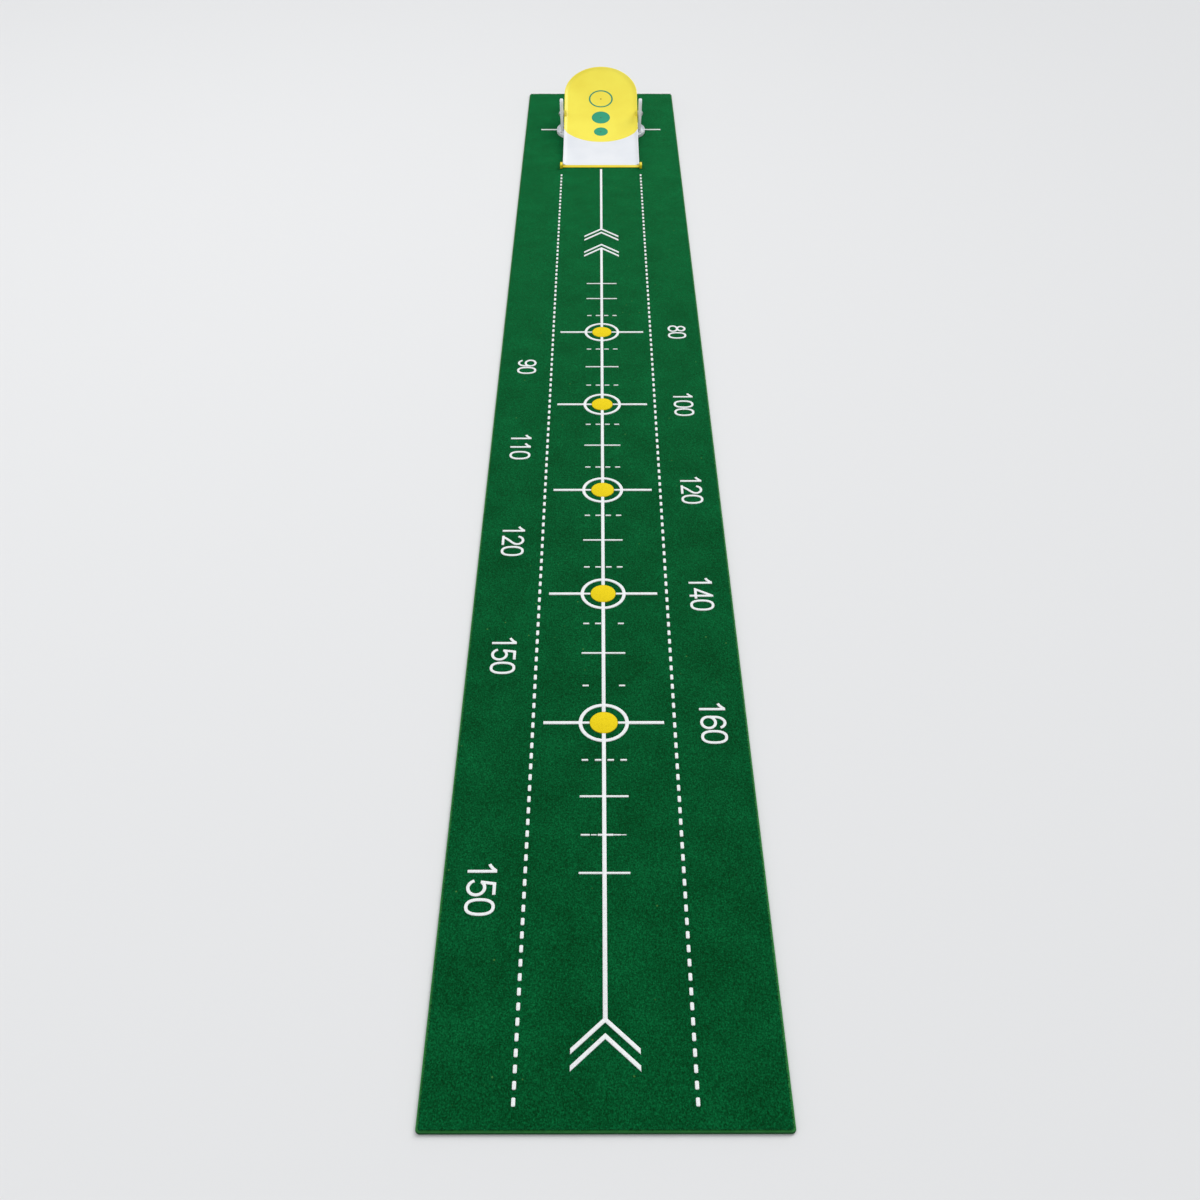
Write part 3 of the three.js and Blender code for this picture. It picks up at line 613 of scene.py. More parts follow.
class PUTTING_OT_fibres(bpy.types.Operator):
    """Scatter loose fibres on the turf and a ragged fringe round its edge"""

    bl_idname = "putting.fibres"
    bl_label = "Turf fibres"

    def execute(self, context):
        rng = random.Random(7)
        size = TURF_HIGH - TURF_LOW
        across, along = 4, 18
        tile = Vector((size.x / across, size.y / along))
        bm = bmesh.new()
        for _ in range(420):
            blade(bm, TURF_LOW.x + rng.uniform(0.02, 0.98) * tile.x,
                  TURF_LOW.y + rng.uniform(0, 1) * tile.y, TURF_TOP - 0.25 * MM,
                  rng.uniform(0, 2 * math.pi), rng.uniform(1.6, 3.6) * MM,
                  rng.uniform(0.22, 0.4) * MM, rng.uniform(0.25, 0.55) * MM)
        loose = finish_piece("turf_loose_fibres", bm, ["fibre"], BODY_MAT)
        repeat(loose, "across", across, (tile.x, 0, 0))
        repeat(loose, "along", along, (0, tile.y, 0))
        for name, start, reach, out in (
                ("left", Vector((TURF_LOW.x, TURF_LOW.y)), Vector((0, tile.y)), math.pi),
                ("right", Vector((TURF_HIGH.x, TURF_LOW.y)), Vector((0, tile.y)), 0.0),
                ("front", TURF_LOW.xy, Vector((tile.x, 0)), -math.pi / 2),
                ("rear", Vector((TURF_LOW.x, TURF_HIGH.y)), Vector((tile.x, 0)), math.pi / 2)):
            bm = bmesh.new()
            for _ in range(round(reach.length / (0.55 * MM))):
                spot = start + reach * rng.random()
                blade(bm, spot.x, spot.y, rng.uniform(TURF_LOW.z + 1 * MM, TURF_TOP - 0.3 * MM),
                      out + rng.uniform(-0.7, 0.7), rng.uniform(0.8, 1.9) * MM,
                      rng.uniform(0.3, 0.5) * MM, rng.uniform(-0.2, 0.7) * MM)
            fringe = finish_piece(f"turf_fringe_{name}", bm, ["fibre"], BODY_MAT)
            repeat(fringe, "along", along if reach.y else across, (reach.x, reach.y, 0))
        return {"FINISHED"}


# ---------------------------------------------------------------- print


def bar(bm, start, end, width, height, corner=0.0):
    """A raised bar between two plan points, with its corners rounded when asked."""
    start, end = Vector(start), Vector(end)
    length = (end - start).length
    part = bmesh.new()
    corners = rectangle(part, (-length / 2, -width / 2), (length / 2, width / 2), 0)
    if corner:
        round_corners(part, corners, corner, 3)
    stamp(bm, part, height, (start + end) / 2, math.atan2(end.y - start.y, end.x - start.x))


def stamp(bm, part, height, centre, turn=0.0):
    """Raises a flat part, softens its top edge and adds it to the print."""
    thicken(part, height + FOOT)
    upper = [e for e in part.edges if all(v.co.z > height for v in e.verts)]
    bmesh.ops.bevel(part, geom=upper, offset=height * 0.6, offset_type="OFFSET", segments=2,
                    profile=0.5, affect="EDGES", material=-1, clamp_overlap=True)
    place = Matrix.Translation((centre[0], centre[1], TURF_TOP - FOOT)) @ Matrix.Rotation(turn, 4, "Z")
    bmesh.ops.transform(part, matrix=place, verts=part.verts)
    mesh = as_mesh("part", part)
    bm.from_mesh(mesh)
    bpy.data.meshes.remove(mesh)


def flat_ring(bm, outer, inner, place, sides):
    """A flat ring between two radii."""
    edges = []
    for radius in (outer, inner):
        ring = bmesh.ops.create_circle(bm, segments=sides, radius=radius, matrix=place)
        edges += list({e for v in ring["verts"] for e in v.link_edges})
    bmesh.ops.bridge_loops(bm, edges=edges)


def chevron(bm, apex, half, width, height):
    """An arrowhead that points along +Y, with its ends cut parallel to the mat."""
    part = bmesh.new()
    fall = half * 0.97
    back = width * math.sqrt(2)
    points = [(0, 0), (half, -fall), (half, -fall - back), (0, -back),
              (-half, -fall - back), (-half, -fall)]
    verts = [part.verts.new((x, y, 0)) for x, y in points]
    part.faces.new((verts[0], verts[3], verts[2], verts[1]))
    part.faces.new((verts[0], verts[5], verts[4], verts[3]))
    stamp(bm, part, height, (0, apex))


def marked(distance):
    """Y of a mark at a distance from the hole line."""
    return HOLE_LINE - distance


TARGETS = [0.8, 1.0, 1.2, 1.401, 1.604]
FULL_TICKS = [0.645, 0.695, 0.9, 1.1, 1.302, 1.5, 1.702, 1.793]
# Distance, and which of the four dashes are there from left to right.
DASHED_TICKS = [
    (0.749, "1111"), (0.85, "1111"), (0.95, "1111"), (1.05, "1111"), (1.15, "1111"), (1.253, "1111"),
    (1.353, "1111"), (1.452, "1101"), (1.55, "1001"), (1.655, "1111"),
]
# Left and right end of each of the four dashes, in millimetres.
DASHES = [(-23, -16.2), (-9.4, -2.6), (3.6, 10.4), (16.8, 23.6)]
# What is left of the worn tick: left end, right end and width in millimetres.
WORN_TICK = 1.749
WORN_PARTS = [(-23, -14, 1.9), (-13, -7.5, 1.3), (-6.5, 9, 2.2), (9.2, 16, 1.5), (16.2, 21.5, 1)]
# Where the centre line starts behind the ramp, and how far it runs into an arrowhead.
LINE_START = 0.194
LINE_INTO_ARROW = 2 * MM
SPOT_GAP = 0.3 * MM
CHEVRONS = [0.4445, 0.458, 0.504, 0.517, 1.939, 1.954]
LANE_FIRST, LANE_LAST = 0.2215, 2.0135
FOOT = 0.4 * MM  # how deep the print reaches into the pile


class PUTTING_OT_lines(bpy.types.Operator):
    """Print the hole line, centre line, distance ticks and chevrons"""

    bl_idname = "putting.lines"
    bl_label = "Printed lines"

    def execute(self, context):
        sizes = context.scene.putting_print
        bm = bmesh.new()

        def across(distance, low, high, width, share):
            y = marked(distance)
            bar(bm, (low, y), (high, y), width, sizes.proud * share)

        for _, sign in SIDES:
            across(0, *sorted((sign * sizes.hole_line_from, sign * sizes.hole_line_to)),
                   sizes.hole_line_width, 1)
        inner = sizes.spot_radius + SPOT_GAP
        edges = sorted(d + s * inner for d in TARGETS for s in (-1, 1))
        ends = [LINE_START, CHEVRONS[0] + LINE_INTO_ARROW, CHEVRONS[3] + LINE_INTO_ARROW, *edges,
                CHEVRONS[4] + LINE_INTO_ARROW]
        for near, far in zip(ends[0::2], ends[1::2]):
            bar(bm, (0, marked(near)), (0, marked(far)), sizes.centre_width, sizes.proud)
        # A target's crossbar is thinner inside its ring than outside it.
        ring = sizes.ring_radius - 2 * MM
        for distance in TARGETS:
            for _, sign in SIDES:
                across(distance, sign * inner, sign * ring, 3 * MM, 0.9)
                across(distance, sign * ring, sign * sizes.crossbar / 2, 3.9 * MM, 0.94)
        half = sizes.tick_length / 2
        for distance in FULL_TICKS:
            across(distance, -half, half, sizes.tick_width, 0.92)
        for distance, shown in DASHED_TICKS:
            for (low, high), dash in zip(DASHES, shown):
                if dash == "1":
                    across(distance, low * MM, high * MM, sizes.tick_width * 0.92, 0.9)
        for low, high, width in WORN_PARTS:
            across(WORN_TICK, low * MM, high * MM, width * MM, 0.8)
        for apex in CHEVRONS:
            chevron(bm, marked(apex), sizes.arrow_half, sizes.arrow_width, sizes.proud * 0.96)
        finish_piece("printed_lines", bm, ["flock"], BODY_MAT)
        return {"FINISHED"}


class PUTTING_OT_targets_printed(bpy.types.Operator):
    """Print the target rings and their yellow spots"""

    bl_idname = "putting.printed_targets"
    bl_label = "Printed targets"

    def execute(self, context):
        sizes = context.scene.putting_print
        rings, spots = bmesh.new(), bmesh.new()
        for distance in TARGETS:
            centre = (0, marked(distance))
            ring = bmesh.new()
            flat_ring(ring, sizes.ring_radius, sizes.ring_radius - sizes.ring_line, Matrix(), 96)
            stamp(rings, ring, sizes.proud * 1.1, centre)
            disc = bmesh.new()
            bmesh.ops.create_circle(disc, cap_ends=True, segments=64, radius=sizes.spot_radius)
            stamp(spots, disc, sizes.proud * 1.2, centre)
        finish_piece("printed_rings", rings, ["flock"], BODY_MAT)
        finish_piece("printed_spots", spots, ["spot"], BODY_MAT)
        return {"FINISHED"}


class PUTTING_OT_lanes(bpy.types.Operator):
    """Print the two dashed lane lines"""

    bl_idname = "putting.lanes"
    bl_label = "Lane dashes"

    def execute(self, context):
        sizes = context.scene.putting_print
        bm = bmesh.new()
        for _, sign in SIDES:
            x = sign * sizes.lane_half
            y = marked(LANE_FIRST)
            bar(bm, (x, y - sizes.dash_length / 2), (x, y + sizes.dash_length / 2),
                sizes.dash_width, sizes.proud, corner=1 * MM)
        piece = finish_piece("printed_lane_dashes", bm, ["flock"], BODY_MAT)
        count = round((LANE_LAST - LANE_FIRST) / sizes.dash_pitch) + 1
        repeat(piece, "along", count, (0, -sizes.dash_pitch, 0))
        return {"FINISHED"}


def arc(centre_x, centre_y, radius_x, radius_y, start, end, steps=20, fullness=2.0):
    """Points along an ellipse between two angles in degrees; more fullness squares its shoulders."""
    points = []
    for i in range(steps + 1):
        angle = math.radians(start + (end - start) * i / steps)
        cos, sin = math.cos(angle), math.sin(angle)
        points.append((centre_x + radius_x * math.copysign(abs(cos) ** (2 / fullness), cos),
                       centre_y + radius_y * math.copysign(abs(sin) ** (2 / fullness), sin)))
    return points


def six():
    """The strokes of a six: its hook, then its bowl."""
    hook = (arc(0.37, 0.6, 0.285, 0.341, 28, 180) + [(0.082, 0.45)]
            + arc(0.36, 0.32, 0.279, 0.261, 180, 200, 3))
    return [hook, arc(0.36, 0.322, 0.28, 0.263, 0, 360, 32)]


# Middle lines of the digits' strokes, in a cell one unit high whose left edge is at zero.
DIGITS = {
    "0": [arc(0.36, 0.5, 0.28, 0.45, 0, 360, 40, fullness=2.4)],
    "1": [[(0.4, 0), (0.4, 1)], [(0.115, 0.735), (0.2, 0.78), (0.29, 0.855), (0.385, 0.97)]],
    "2": [arc(0.345, 0.69, 0.262, 0.251, 172, -28, 16)
          + [(0.5, 0.48), (0.36, 0.34), (0.22, 0.2), (0.1, 0.03)], [(0.035, 0.059), (0.66, 0.059)]],
    "4": [[(0.5, 0), (0.5, 1)], [(0.478, 0.93), (0.098, 0.262), (0.68, 0.262)]],
    "5": [[(0.61, 0.941), (0.175, 0.941), (0.105, 0.475)],
          arc(0.335, 0.34, 0.28, 0.281, 140, -164, 24)],
    "6": six(),
    "8": [arc(0.36, 0.738, 0.228, 0.206, 0, 360, 32), arc(0.36, 0.292, 0.28, 0.235, 0, 360, 32)],
    "9": [[(0.72 - x, 1 - y) for x, y in path] for path in six()],
}


def stroke(points, width, height):
    """A raised band of even width along a path, closed when the path ends where it began."""
    closed = (Vector(points[0]) - Vector(points[-1])).length < 1e-6
    bm = bmesh.new()
    verts = [bm.verts.new((*p, 0)) for p in (points[:-1] if closed else points)]
    pairs = zip(verts, verts[1:] + verts[:1] if closed else verts[1:])
    edges = [bm.edges.new(pair) for pair in pairs]
    raised = bmesh.ops.extrude_edge_only(bm, edges=edges)["geom"]
    bmesh.ops.translate(bm, verts=[g for g in raised if isinstance(g, bmesh.types.BMVert)],
                        vec=(0, 0, height))
    mesh = as_mesh("stroke", bm)
    holder = put("stroke", mesh)
    wall = holder.modifiers.new("wall", "SOLIDIFY")
    wall.thickness = width
    wall.offset = 0
    wall.use_even_offset = True
    crown = holder.modifiers.new("crown", "BEVEL")
    crown.width = height * 0.3
    crown.segments = 2
    crown.limit_method = "ANGLE"
    crown.angle_limit = math.radians(50)
    bpy.context.view_layer.update()
    made = bpy.data.meshes.new_from_object(holder.evaluated_get(bpy.context.evaluated_depsgraph_get()))
    bpy.data.objects.remove(holder)
    bpy.data.meshes.remove(mesh)
    return made


class PUTTING_OT_numbers(bpy.types.Operator):
    """Print the distances to the hole line, read from the mat's left side"""

    bl_idname = "putting.numbers"
    bl_label = "Distance numbers"

    # Across the mat in millimetres, the distance and what is printed there.
    NUMBERS = [
        (116, 0.8, "80"), (116, 1.0, "100"), (116, 1.2, "120"), (116, 1.401, "140"),
        (116, 1.604, "160"), (-111.5, 0.9, "90"), (-111.5, 1.103, "110"), (-111.5, 1.303, "120"),
        (-112, 1.503, "150"), (-115.5, 1.81, "150"),
    ]

    def execute(self, context):
        sizes = context.scene.putting_print
        size = sizes.digit_height
        bm = bmesh.new()
        for across, distance, digits in self.NUMBERS:
            for place, digit in enumerate(digits):
                cell = (place - len(digits) / 2) * sizes.digit_advance
                for layer, path in enumerate(DIGITS[digit]):
                    points = [(x * size + cell, (y - 0.5) * size) for x, y in path]
                    # Each stroke of a digit stands a hair higher than the last, so no two tops meet.
                    made = stroke(points, sizes.digit_stroke, sizes.proud + FOOT + layer * 0.03 * MM)
                    made.transform(
                        Matrix.Translation((across * MM, marked(distance), TURF_TOP - FOOT))
                        @ Matrix.Rotation(-math.pi / 2, 4, "Z"))
                    bm.from_mesh(made)
                    bpy.data.meshes.remove(made)
        finish_piece("printed_numbers", bm, ["flock"], BODY_MAT)
        return {"FINISHED"}


# ---------------------------------------------------------------- ramp


def ramp_outline(bm, front, z):
    """Flat outline of the ramp from a front edge, with its rear end half round."""
    sizes = bpy.context.scene.putting_ramp
    corners = rectangle(bm, (-HALF, front), (HALF, sizes.length), z)
    rear = [v for v in corners if v.co.y > front + MM]
    round_corners(bm, rear, HALF - 0.01 * MM, 28)


def curve_front(bm, at, gap=0.0):
    """Bows a straight edge across the ramp into the board's front arc."""
    sizes = bpy.context.scene.putting_ramp
    sag = sizes.board_corners - sizes.board_front
    radius = (HALF ** 2 + sag ** 2) / (2 * sag)
    straight = [e for e in bm.edges if all(abs(v.co.y - at) < 1e-6 for v in e.verts)
                and e.calc_length() > HALF]
    bmesh.ops.subdivide_edges(bm, edges=straight, cuts=39)
    for vert in bm.verts:
        if abs(vert.co.y - at) < 1e-6:
            vert.co.y = sizes.board_front + radius - math.sqrt(radius ** 2 - vert.co.x ** 2) - gap


def rim_lift(x, length):
    """Lift of the dished edge: a rounded rim along the sides that eases off round the rear end."""
    sizes = bpy.context.scene.putting_ramp
    turn = sizes.length - HALF
    past = max(0.0, length - turn)
    inside = HALF - math.hypot(x, past)
    ease = 1 - 0.6 * min(1.0, past / HALF) ** 2
    fall = min(1.0, max(0.0, (inside - sizes.rim_top) / sizes.rim_cove))
    return sizes.rim_height * ease * (1 - math.sin(fall * math.pi / 2)) ** 1.2


def dish(bm):
    """Raises the top surface's edge into the rim."""
    for vert in bm.verts:
        if abs(vert.co.z) < 1e-7:
            vert.co.z = rim_lift(vert.co.x, vert.co.y)


def shell_front(sizes):
    """The shell's plain front: a slab up to the board's arc, with a rail at each side.

    It reaches into the deck and stands a hair inside its outline, so that no two faces share a plane.
    """
    bm = bmesh.new()
    hair = 0.02 * MM
    bottom = -sizes.board - sizes.seam - 0.6 * MM
    rectangle(bm, (hair - HALF, hair), (HALF - hair, sizes.board_corners), bottom)
    curve_front(bm, sizes.board_corners, sizes.arc_seam)
    thicken(bm, -bottom)
    for step in range(6):
        across = HALF - sizes.rim_top - sizes.rim_cove * step / 5
        for side in (-1, 1):
            cut_across(bm, (side * across, 0, 0), (1, 0, 0))
    dish(bm)
    soften(bm, 0.5 * MM, 3, keep=lambda e: all(v.co.z > -0.1 * MM for v in e.verts)
           and min(v.co.y for v in e.verts) < sizes.board_front - MM)
    slice_along(bm, -HALF, HALF, 9 * MM, axis=(1, 0, 0))
    return bm


def shell_deck(sizes):
    """The shell's full-length deck, with a skirt round its underside."""
    bm = bmesh.new()
    ramp_outline(bm, 0, -sizes.skirt_depth)
    thicken(bm, sizes.skirt_depth - sizes.board - sizes.seam)
    under = [f for f in bm.faces if f.normal.z < -0.9]
    for step in (sizes.skirt_width, 0.05 * MM):
        bmesh.ops.inset_region(bm, faces=under, thickness=step, use_even_offset=True)
    bmesh.ops.translate(bm, verts=under[0].verts[:], vec=(0, 0, sizes.skirt_depth - sizes.deck))
    soften(bm, 0.5 * MM, 2, keep=lambda e: all(v.co.z < 0.05 * MM - sizes.skirt_depth for v in e.verts))
    return bm


def rib(low, high, top, bottom):
    """A straight rib between two plan corners and two lifts."""
    bm = bmesh.new()
    rectangle(bm, low, high, bottom)
    thicken(bm, top - bottom)
    return bm


def pivot_on_flat(sizes):
    """Where the pivot axis lies before the ramp is bent: a length along it and a lift off it."""
    places = [i * 0.1 * MM for i in range(int(sizes.length / (0.1 * MM)))]
    nearest = min(places, key=lambda at: (on_ramp(0, at).yz - PIVOT.yz).length)
    above = on_ramp(0, nearest, MM) - on_ramp(0, nearest)
    offset = PIVOT - on_ramp(0, nearest)
    return nearest, offset.yz.dot(above.yz.normalized())


class PUTTING_OT_shell(bpy.types.Operator):
    """Mould the white shell: front ramp, rails, deck, skirt and ribs"""

    bl_idname = "putting.shell"
    bl_label = "Ramp shell"

    def execute(self, context):
        sizes = context.scene.putting_ramp
        bm = combine(shell_deck(sizes), shell_front(sizes), "UNION")
        # The ribs reach into the deck. The crossing ones differ in height, so that no faces share a plane.
        top, thick = 0.5 * MM - sizes.deck, 1 * MM
        for x in (-35 * MM, 0, 35 * MM):
            lengthwise = rib((x - thick, 112 * MM), (x + thick, 290 * MM), top, -7 * MM)
            bm = combine(bm, lengthwise, "UNION")
        for y, reach in ((205 * MM, HALF - 1 * MM), (262 * MM, HALF - 8 * MM)):
            crosswise = rib((-reach, y - thick), (reach, y + thick), top + 0.1 * MM, -6.6 * MM)
            bm = combine(bm, crosswise, "UNION")
        for _, sign in SIDES:
            low, high = sorted((sign * (HALF - sizes.rail_width - sizes.seam),
                                sign * (HALF + sizes.rail_width)))
            notch = rod(sizes.ear_radius + sizes.seam, low, high, pivot_on_flat(sizes))
            bm = combine(bm, notch, "DIFFERENCE")
        slice_along(bm, 0, sizes.length, 5 * MM)
        bend(bm)
        finish_piece("ramp_shell_white", bm, ["white"], BODY_RAMP, ["ramp_shell"])
        return {"FINISHED"}


class PUTTING_OT_board(bpy.types.Operator):
    """Mould the yellow board: arc front, rounded rim and pivot ears"""

    bl_idname = "putting.board"
    bl_label = "Target board"

    def execute(self, context):
        sizes = context.scene.putting_ramp
        bm = bmesh.new()
        ramp_outline(bm, sizes.board_corners, -sizes.board)
        curve_front(bm, sizes.board_corners)
        top = thicken(bm, sizes.board)
        for step in (sizes.rim_top, *[sizes.rim_cove / 5] * 5):
            bmesh.ops.inset_region(bm, faces=top, thickness=step, use_even_offset=True)
        dish(bm)
        soften(bm, 0.5 * MM, 3, keep=lambda e: all(v.co.z > -0.1 * MM for v in e.verts)
               and max(v.co.y for v in e.verts) > sizes.board_corners + 0.1 * MM)
        slice_along(bm, sizes.board_front, sizes.length, 4 * MM)
        bend(bm)
        inner = HALF - sizes.rail_width
        for _, sign in SIDES:
            ear = ear_rod(sign, sizes.ear_radius, inner, HALF + 0.02 * MM, edge=0.5 * MM)
            bm = combine(bm, ear, "UNION")
            bore = ear_rod(sign, sizes.ear_bore, inner - 0.05 * MM, HALF + 5 * MM)
            bm = combine(bm, bore, "DIFFERENCE")
        finish_piece("target_board_yellow", bm, ["yellow"], BODY_RAMP, ["target_board"])
        return {"FINISHED"}


class PUTTING_OT_targets(bpy.types.Operator):
    """Lay the teal ring and discs into the board"""

    bl_idname = "putting.targets"
    bl_label = "Board targets"

    def execute(self, context):
        sizes = context.scene.putting_ramp
        edge, proud, sunk = 1.3 * MM, 0.12 * MM, 0.3 * MM
        for name, at, radius in (("middle_target", sizes.middle_at, sizes.middle_radius),
                                 ("small_target", sizes.small_at, sizes.small_radius)):
            bm = bmesh.new()
            place = Matrix.Translation((0, at, -sunk))
            bmesh.ops.create_circle(bm, cap_ends=True, segments=72, radius=radius, matrix=place)
            top = thicken(bm, sunk + proud)
            band = bmesh.ops.inset_region(bm, faces=top, thickness=edge, use_even_offset=True)
            for face in band["faces"]:
                face.material_index = 1
            slice_along(bm, at - radius, at + radius, 3 * MM)
            bend(bm)
            finish_piece(f"{name}_teal", bm, ["teal", "teal_rim"], BODY_RAMP, [name])
        bm = bmesh.new()
        flat_ring(bm, sizes.ring_radius, sizes.ring_radius - sizes.ring_line,
                  Matrix.Translation((0, sizes.ring_at, -sunk)), 80)
        thicken(bm, sunk + proud)
        bend(bm)
        finish_piece("target_ring_teal", bm, ["teal_rim"], BODY_RAMP, ["target_ring"])
        return {"FINISHED"}


def side_view(points):
    """A flat face in the YZ plane from a few corners."""
    bm = bmesh.new()
    verts = [bm.verts.new((0, y, z)) for y, z in points]
    bm.faces.new(verts)
    return bm, verts


def carry_across(bm, low, high):
    """Extrudes a side view from one X to another."""
    bmesh.ops.translate(bm, verts=bm.verts, vec=(low, 0, 0))
    raise_faces(bm, list(bm.faces), (high - low, 0, 0))
    bmesh.ops.recalc_face_normals(bm, faces=bm.faces)


class PUTTING_OT_lip(bpy.types.Operator):
    """Mould the soft front lip and the blocks at its ends"""

    bl_idname = "putting.lip"
    bl_label = "Front lip"

    def execute(self, context):
        bm, _ = side_view([
            (LIP_LOW.y, LIP_LOW.z), (LIP_HIGH.y, LIP_LOW.z), (LIP_HIGH.y, LIP_HIGH.z),
            (LIP_LOW.y + 0.7 * MM, LIP_LOW.z + 0.7 * MM), (LIP_LOW.y, LIP_LOW.z + 0.35 * MM)])
        carry_across(bm, LIP_LOW.x, LIP_HIGH.x)
        soften(bm, 0.2 * MM, 2)
        finish_piece("front_lip_soft", bm, ["lip"], BODY_RAMP, ["front_lip"])
        for side in ("left", "right"):
            low, high = corners_of(f"{side}_lip_cap")
            bm, verts = side_view([(low.y, low.z), (high.y, low.z), (high.y, high.z), (low.y, high.z)])
            round_corners(bm, verts[2:], 2.5 * MM, 8)
            carry_across(bm, low.x, high.x)
            soften(bm, 0.8 * MM, 3)
            finish_piece(f"{side}_lip_block", bm, ["lip"], BODY_RAMP, [f"{side}_lip_cap"])
        return {"FINISHED"}


# ---------------------------------------------------------------- base


class PUTTING_OT_base(bpy.types.Operator):
    """Mould the shallow base tray with its raised rim and holes"""

    bl_idname = "putting.base"
    bl_label = "Base tray"

    def execute(self, context):
        rim_width, rim_height = 3.5 * MM, 3 * MM
        room = 0.3 * MM
        peg_radius, peg_inwards, peg_forwards = 2.4 * MM, 9.5 * MM, 12.5 * MM
        head_radius, head_height, shank_radius = 3 * MM, 1.7 * MM, 1.55 * MM
        above = 20 * MM
        radius = (TRAY_HIGH.y - TRAY_LOW.y) / 2
        middle = (TRAY_HIGH.y + TRAY_LOW.y) / 2
        bm = bmesh.new()
        corners = rectangle(bm, TRAY_LOW.xy, TRAY_HIGH.xy, TRAY_LOW.z)
        round_corners(bm, corners, radius - 0.01 * MM, 24)
        top = thicken(bm, TRAY_HIGH.z - TRAY_LOW.z)
        bmesh.ops.inset_region(bm, faces=top, thickness=rim_width, use_even_offset=True)
        bmesh.ops.translate(bm, verts=list({v for f in top for v in f.verts}), vec=(0, 0, -rim_height))
        soften(bm, 0.9 * MM, 4)
        for side, sign in SIDES:
            pad_low, pad_high = corners_of(f"{side}_grip_pad")
            pad_middle = (pad_low + pad_high) / 2
            recess = rod((pad_high.x - pad_low.x) / 2 + room, 0, pad_high.z + room,
                         pad_middle.xy, axis="Z", sides=64)
            bm = combine(bm, recess, "DIFFERENCE")
            spot = (sign * (TRAY_HIGH.x - peg_inwards), middle - peg_forwards)
            bm = combine(bm, rod(peg_radius, 0, above, spot, axis="Z"), "DIFFERENCE")
            for end in ("front", "rear"):
                low, high = corners_of(f"{side}_arm_screw_{end}")
                spot = ((low + high) / 2).xy
                sink = rod(head_radius, 0, low.z + head_height, spot, axis="Z", sides=32)
                bm = combine(bm, sink, "DIFFERENCE")
                shank = rod(shank_radius, 0, above, spot, axis="Z", sides=24)
                bm = combine(bm, shank, "DIFFERENCE")
        finish_piece("base_tray_white", bm, ["white"], BODY_BASE, ["base_tray"])
        return {"FINISHED"}


class PUTTING_OT_arms(bpy.types.Operator):
    """Mould the two upright arms, rounded over and thicker at the top"""

    bl_idname = "putting.arms"
    bl_label = "Arms"

    def execute(self, context):
        foot_depth, top_depth, foot_forward = 24 * MM, 15 * MM, 7 * MM
        foot_thickness = 4.8 * MM
        for side, sign in SIDES:
            low, high = corners_of(f"{side}_arm")
            inner, outer = sorted((abs(low.x), abs(high.x)))
            foot = HOLE_LINE - foot_forward
            bm, verts = side_view([
                (foot - foot_depth / 2, low.z), (foot + foot_depth / 2, low.z),
                (HOLE_LINE + top_depth / 2, high.z), (HOLE_LINE - top_depth / 2, high.z)])
            round_corners(bm, verts[2:], top_depth / 2 * 0.93, 12)
            carry_across(bm, sign * inner, sign * outer)
            for vert in bm.verts:
                if abs(vert.co.x) > (inner + outer) / 2:
                    share = (vert.co.z - low.z) / (high.z - low.z)
                    vert.co.x = sign * (inner + foot_thickness + (outer - inner - foot_thickness) * share)
            soften(bm, 2.1 * MM, 6, keep=lambda e: all(v.co.z > low.z + MM for v in e.verts))
            bore = ear_rod(sign, 4.3 * MM, inner - 5 * MM, outer + 5 * MM)
            bm = combine(bm, bore, "DIFFERENCE")
            finish_piece(f"{side}_arm_white", bm, ["white"], BODY_BASE, [f"{side}_arm"])
        return {"FINISHED"}


class PUTTING_OT_pins(bpy.types.Operator):
    """Turn the two pivot pins with their low domed heads"""

    bl_idname = "putting.pins"
    bl_label = "Pivot pins"

    def execute(self, context):
        shank, head = 2.5 * MM, 3.8 * MM
        for side, sign in SIDES:
            low, high = corners_of(f"{side}_pivot_pin")
            inner, outer = sorted((abs(low.x), abs(high.x)))
            dome = 1.7 * MM
            face = outer - dome
            bm = bmesh.new()
            profile = [(inner, 0), (inner, shank - 0.4 * MM), (inner + 0.4 * MM, shank), (face, shank),
                       (face, head - 0.2 * MM), (face + 0.2 * MM, head)]
            for step in range(9):
                angle = step * math.pi / 16
                profile.append((face + 0.4 * MM + (dome - 0.4 * MM) * math.sin(angle),
                                head * math.cos(angle)))
            profile[-1] = (outer, 0)
            verts = [bm.verts.new((sign * x, 0, r)) for x, r in profile]
            edges = [bm.edges.new(pair) for pair in zip(verts, verts[1:])]
            bmesh.ops.spin(bm, geom=verts + edges, cent=(0, 0, 0), axis=(1, 0, 0), steps=48,
                           angle=2 * math.pi, use_merge=True)
            bmesh.ops.remove_doubles(bm, verts=bm.verts, dist=1e-6)
            bmesh.ops.recalc_face_normals(bm, faces=bm.faces)
            bmesh.ops.translate(bm, verts=bm.verts, vec=(0, PIVOT.y, PIVOT.z))
            finish_piece(f"{side}_pin_domed", bm, ["steel"], BODY_RAMP, [f"{side}_pivot_pin"])
        return {"FINISHED"}


class PUTTING_OT_hardware(bpy.types.Operator):
    """Give the carried-over screws, bushes, inserts and pads their finishes"""

    bl_idname = "putting.hardware"
    bl_label = "Hardware finishes"

    FINISH_BY_WORD = {
        "screw": "steel", "pip": "brass", "insert": "brass", "bush": "nylon", "washer": "nylon",
        "grip_pad": "rubber", "pin": "steel",
    }

    def execute(self, context):
        for name, node in NODES.items():
            for word, finish in self.FINISH_BY_WORD.items():
                if word in name:
                    node.data.materials.clear()
                    node.data.materials.append(MATERIALS[finish])
                    break
        return {"FINISHED"}


# ---------------------------------------------------------------- stage


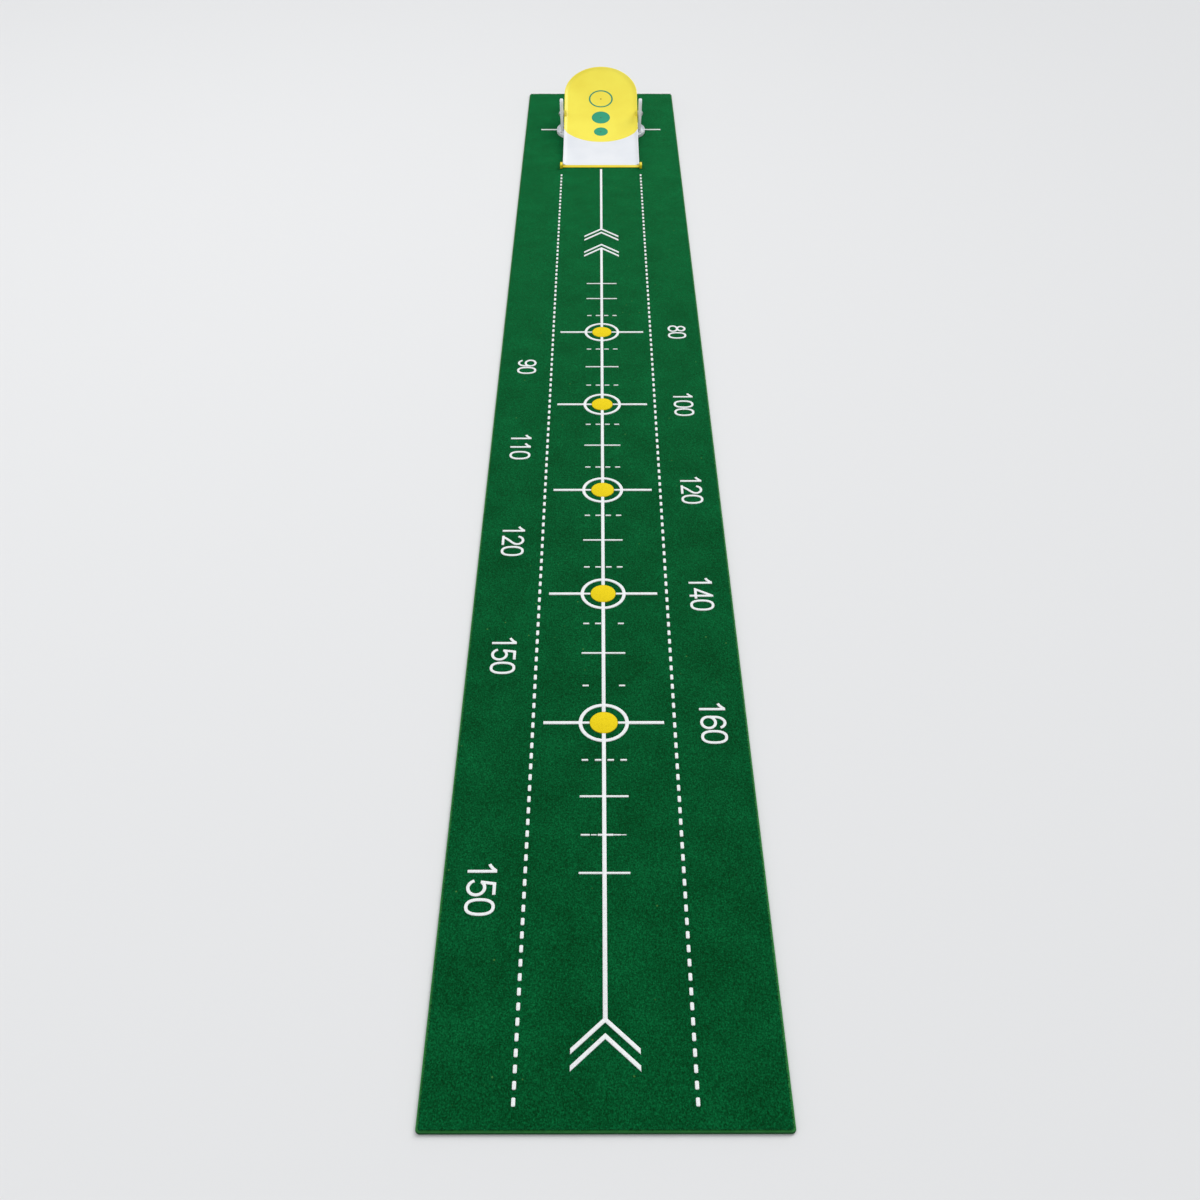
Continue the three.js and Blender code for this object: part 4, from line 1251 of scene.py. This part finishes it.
class PUTTING_OT_stage(bpy.types.Operator):
    """Set the pale floor, studio lights and camera"""

    bl_idname = "putting.stage"
    bl_label = "Stage"

    def execute(self, context):
        scene = context.scene
        paper = material("paper_backdrop_matt", {
            "Base Color": linear("#e2e2e2"), "Roughness": 0.9, "Specular IOR Level": 0.1})[0]
        bm = bmesh.new()
        rectangle(bm, (-9, -9), (9, 9), -0.2 * MM)
        mesh = as_mesh("floor", bm)
        mesh.materials.append(paper)
        put("floor", mesh)
        scene.world = bpy.data.worlds.new("studio")
        scene.world.use_nodes = True
        sky = scene.world.node_tree.nodes["Background"]
        sky.inputs["Color"].default_value = linear("#f3f5f8")
        sky.inputs["Strength"].default_value = 0.63
        for name, towards, strength, spread in (
                ("key", (0.8, 0.95, 1.0), 1.45, 30), ("fill", (-0.8, -0.2, 1.0), 0.35, 60)):
            light = bpy.data.lights.new(name, "SUN")
            light.energy = strength
            light.angle = math.radians(spread)
            put(name, light).rotation_euler = Vector(towards).to_track_quat("Z", "Y").to_euler()
        softbox = bpy.data.lights.new("softbox", "AREA")
        softbox.energy = 11
        softbox.size = 1.6
        put("softbox", softbox).location = (-0.7, 0.5, 2.4)
        scene.view_settings.view_transform = "Standard"
        lens = bpy.data.cameras.new("camera")
        lens.lens = 36.4
        lens.sensor_width = 36
        lens.clip_start = 0.05
        camera = put("camera", lens)
        camera.location = (-0.0052, HOLE_LINE - 2.462, TURF_TOP + 0.966)
        camera.rotation_euler = (math.radians(90 - 42.61), 0, math.radians(-0.081))
        scene.camera = camera
        return {"FINISHED"}


class PUTTING_PT_panel(bpy.types.Panel):
    """Lists the putting mat's settings and steps"""

    bl_label = "Putting Mat"
    bl_idname = "PUTTING_PT_panel"
    bl_space_type = "VIEW_3D"
    bl_region_type = "UI"
    bl_category = "Putting Mat"

    def draw(self, context):
        for group in (context.scene.putting_ramp, context.scene.putting_print,
                      context.scene.putting_colours):
            box = self.layout.box()
            for name in group.bl_rna.properties.keys():
                if name not in ("rna_type", "name"):
                    box.prop(group, name)
        for step in STEPS:
            self.layout.operator(step.bl_idname)


STEPS = (
    PUTTING_OT_materials, PUTTING_OT_stage, PUTTING_OT_backing, PUTTING_OT_turf, PUTTING_OT_fibres,
    PUTTING_OT_lines, PUTTING_OT_targets_printed, PUTTING_OT_lanes, PUTTING_OT_numbers,
    PUTTING_OT_shell, PUTTING_OT_board, PUTTING_OT_targets, PUTTING_OT_lip, PUTTING_OT_base,
    PUTTING_OT_arms, PUTTING_OT_pins, PUTTING_OT_hardware,
)
GROUPS = {
    "putting_ramp": PUTTING_PG_ramp,
    "putting_print": PUTTING_PG_print,
    "putting_colours": PUTTING_PG_colours,
}


def register():
    """Registers the settings, the steps and the panel."""
    for group in GROUPS.values():
        bpy.utils.register_class(group)
    for name, group in GROUPS.items():
        setattr(bpy.types.Scene, name, bpy.props.PointerProperty(type=group))
    for step in STEPS:
        bpy.utils.register_class(step)
    bpy.utils.register_class(PUTTING_PT_panel)


def unregister():
    """Takes back what register() did."""
    bpy.utils.unregister_class(PUTTING_PT_panel)
    for step in reversed(STEPS):
        bpy.utils.unregister_class(step)
    for name, group in GROUPS.items():
        delattr(bpy.types.Scene, name)
        bpy.utils.unregister_class(group)


def main():
    """Runs every step."""
    register()
    for step in STEPS:
        family, name = step.bl_idname.split(".")
        getattr(getattr(bpy.ops, family), name)()
    bpy.context.view_layer.update()


if __name__ == "__main__":
    main()
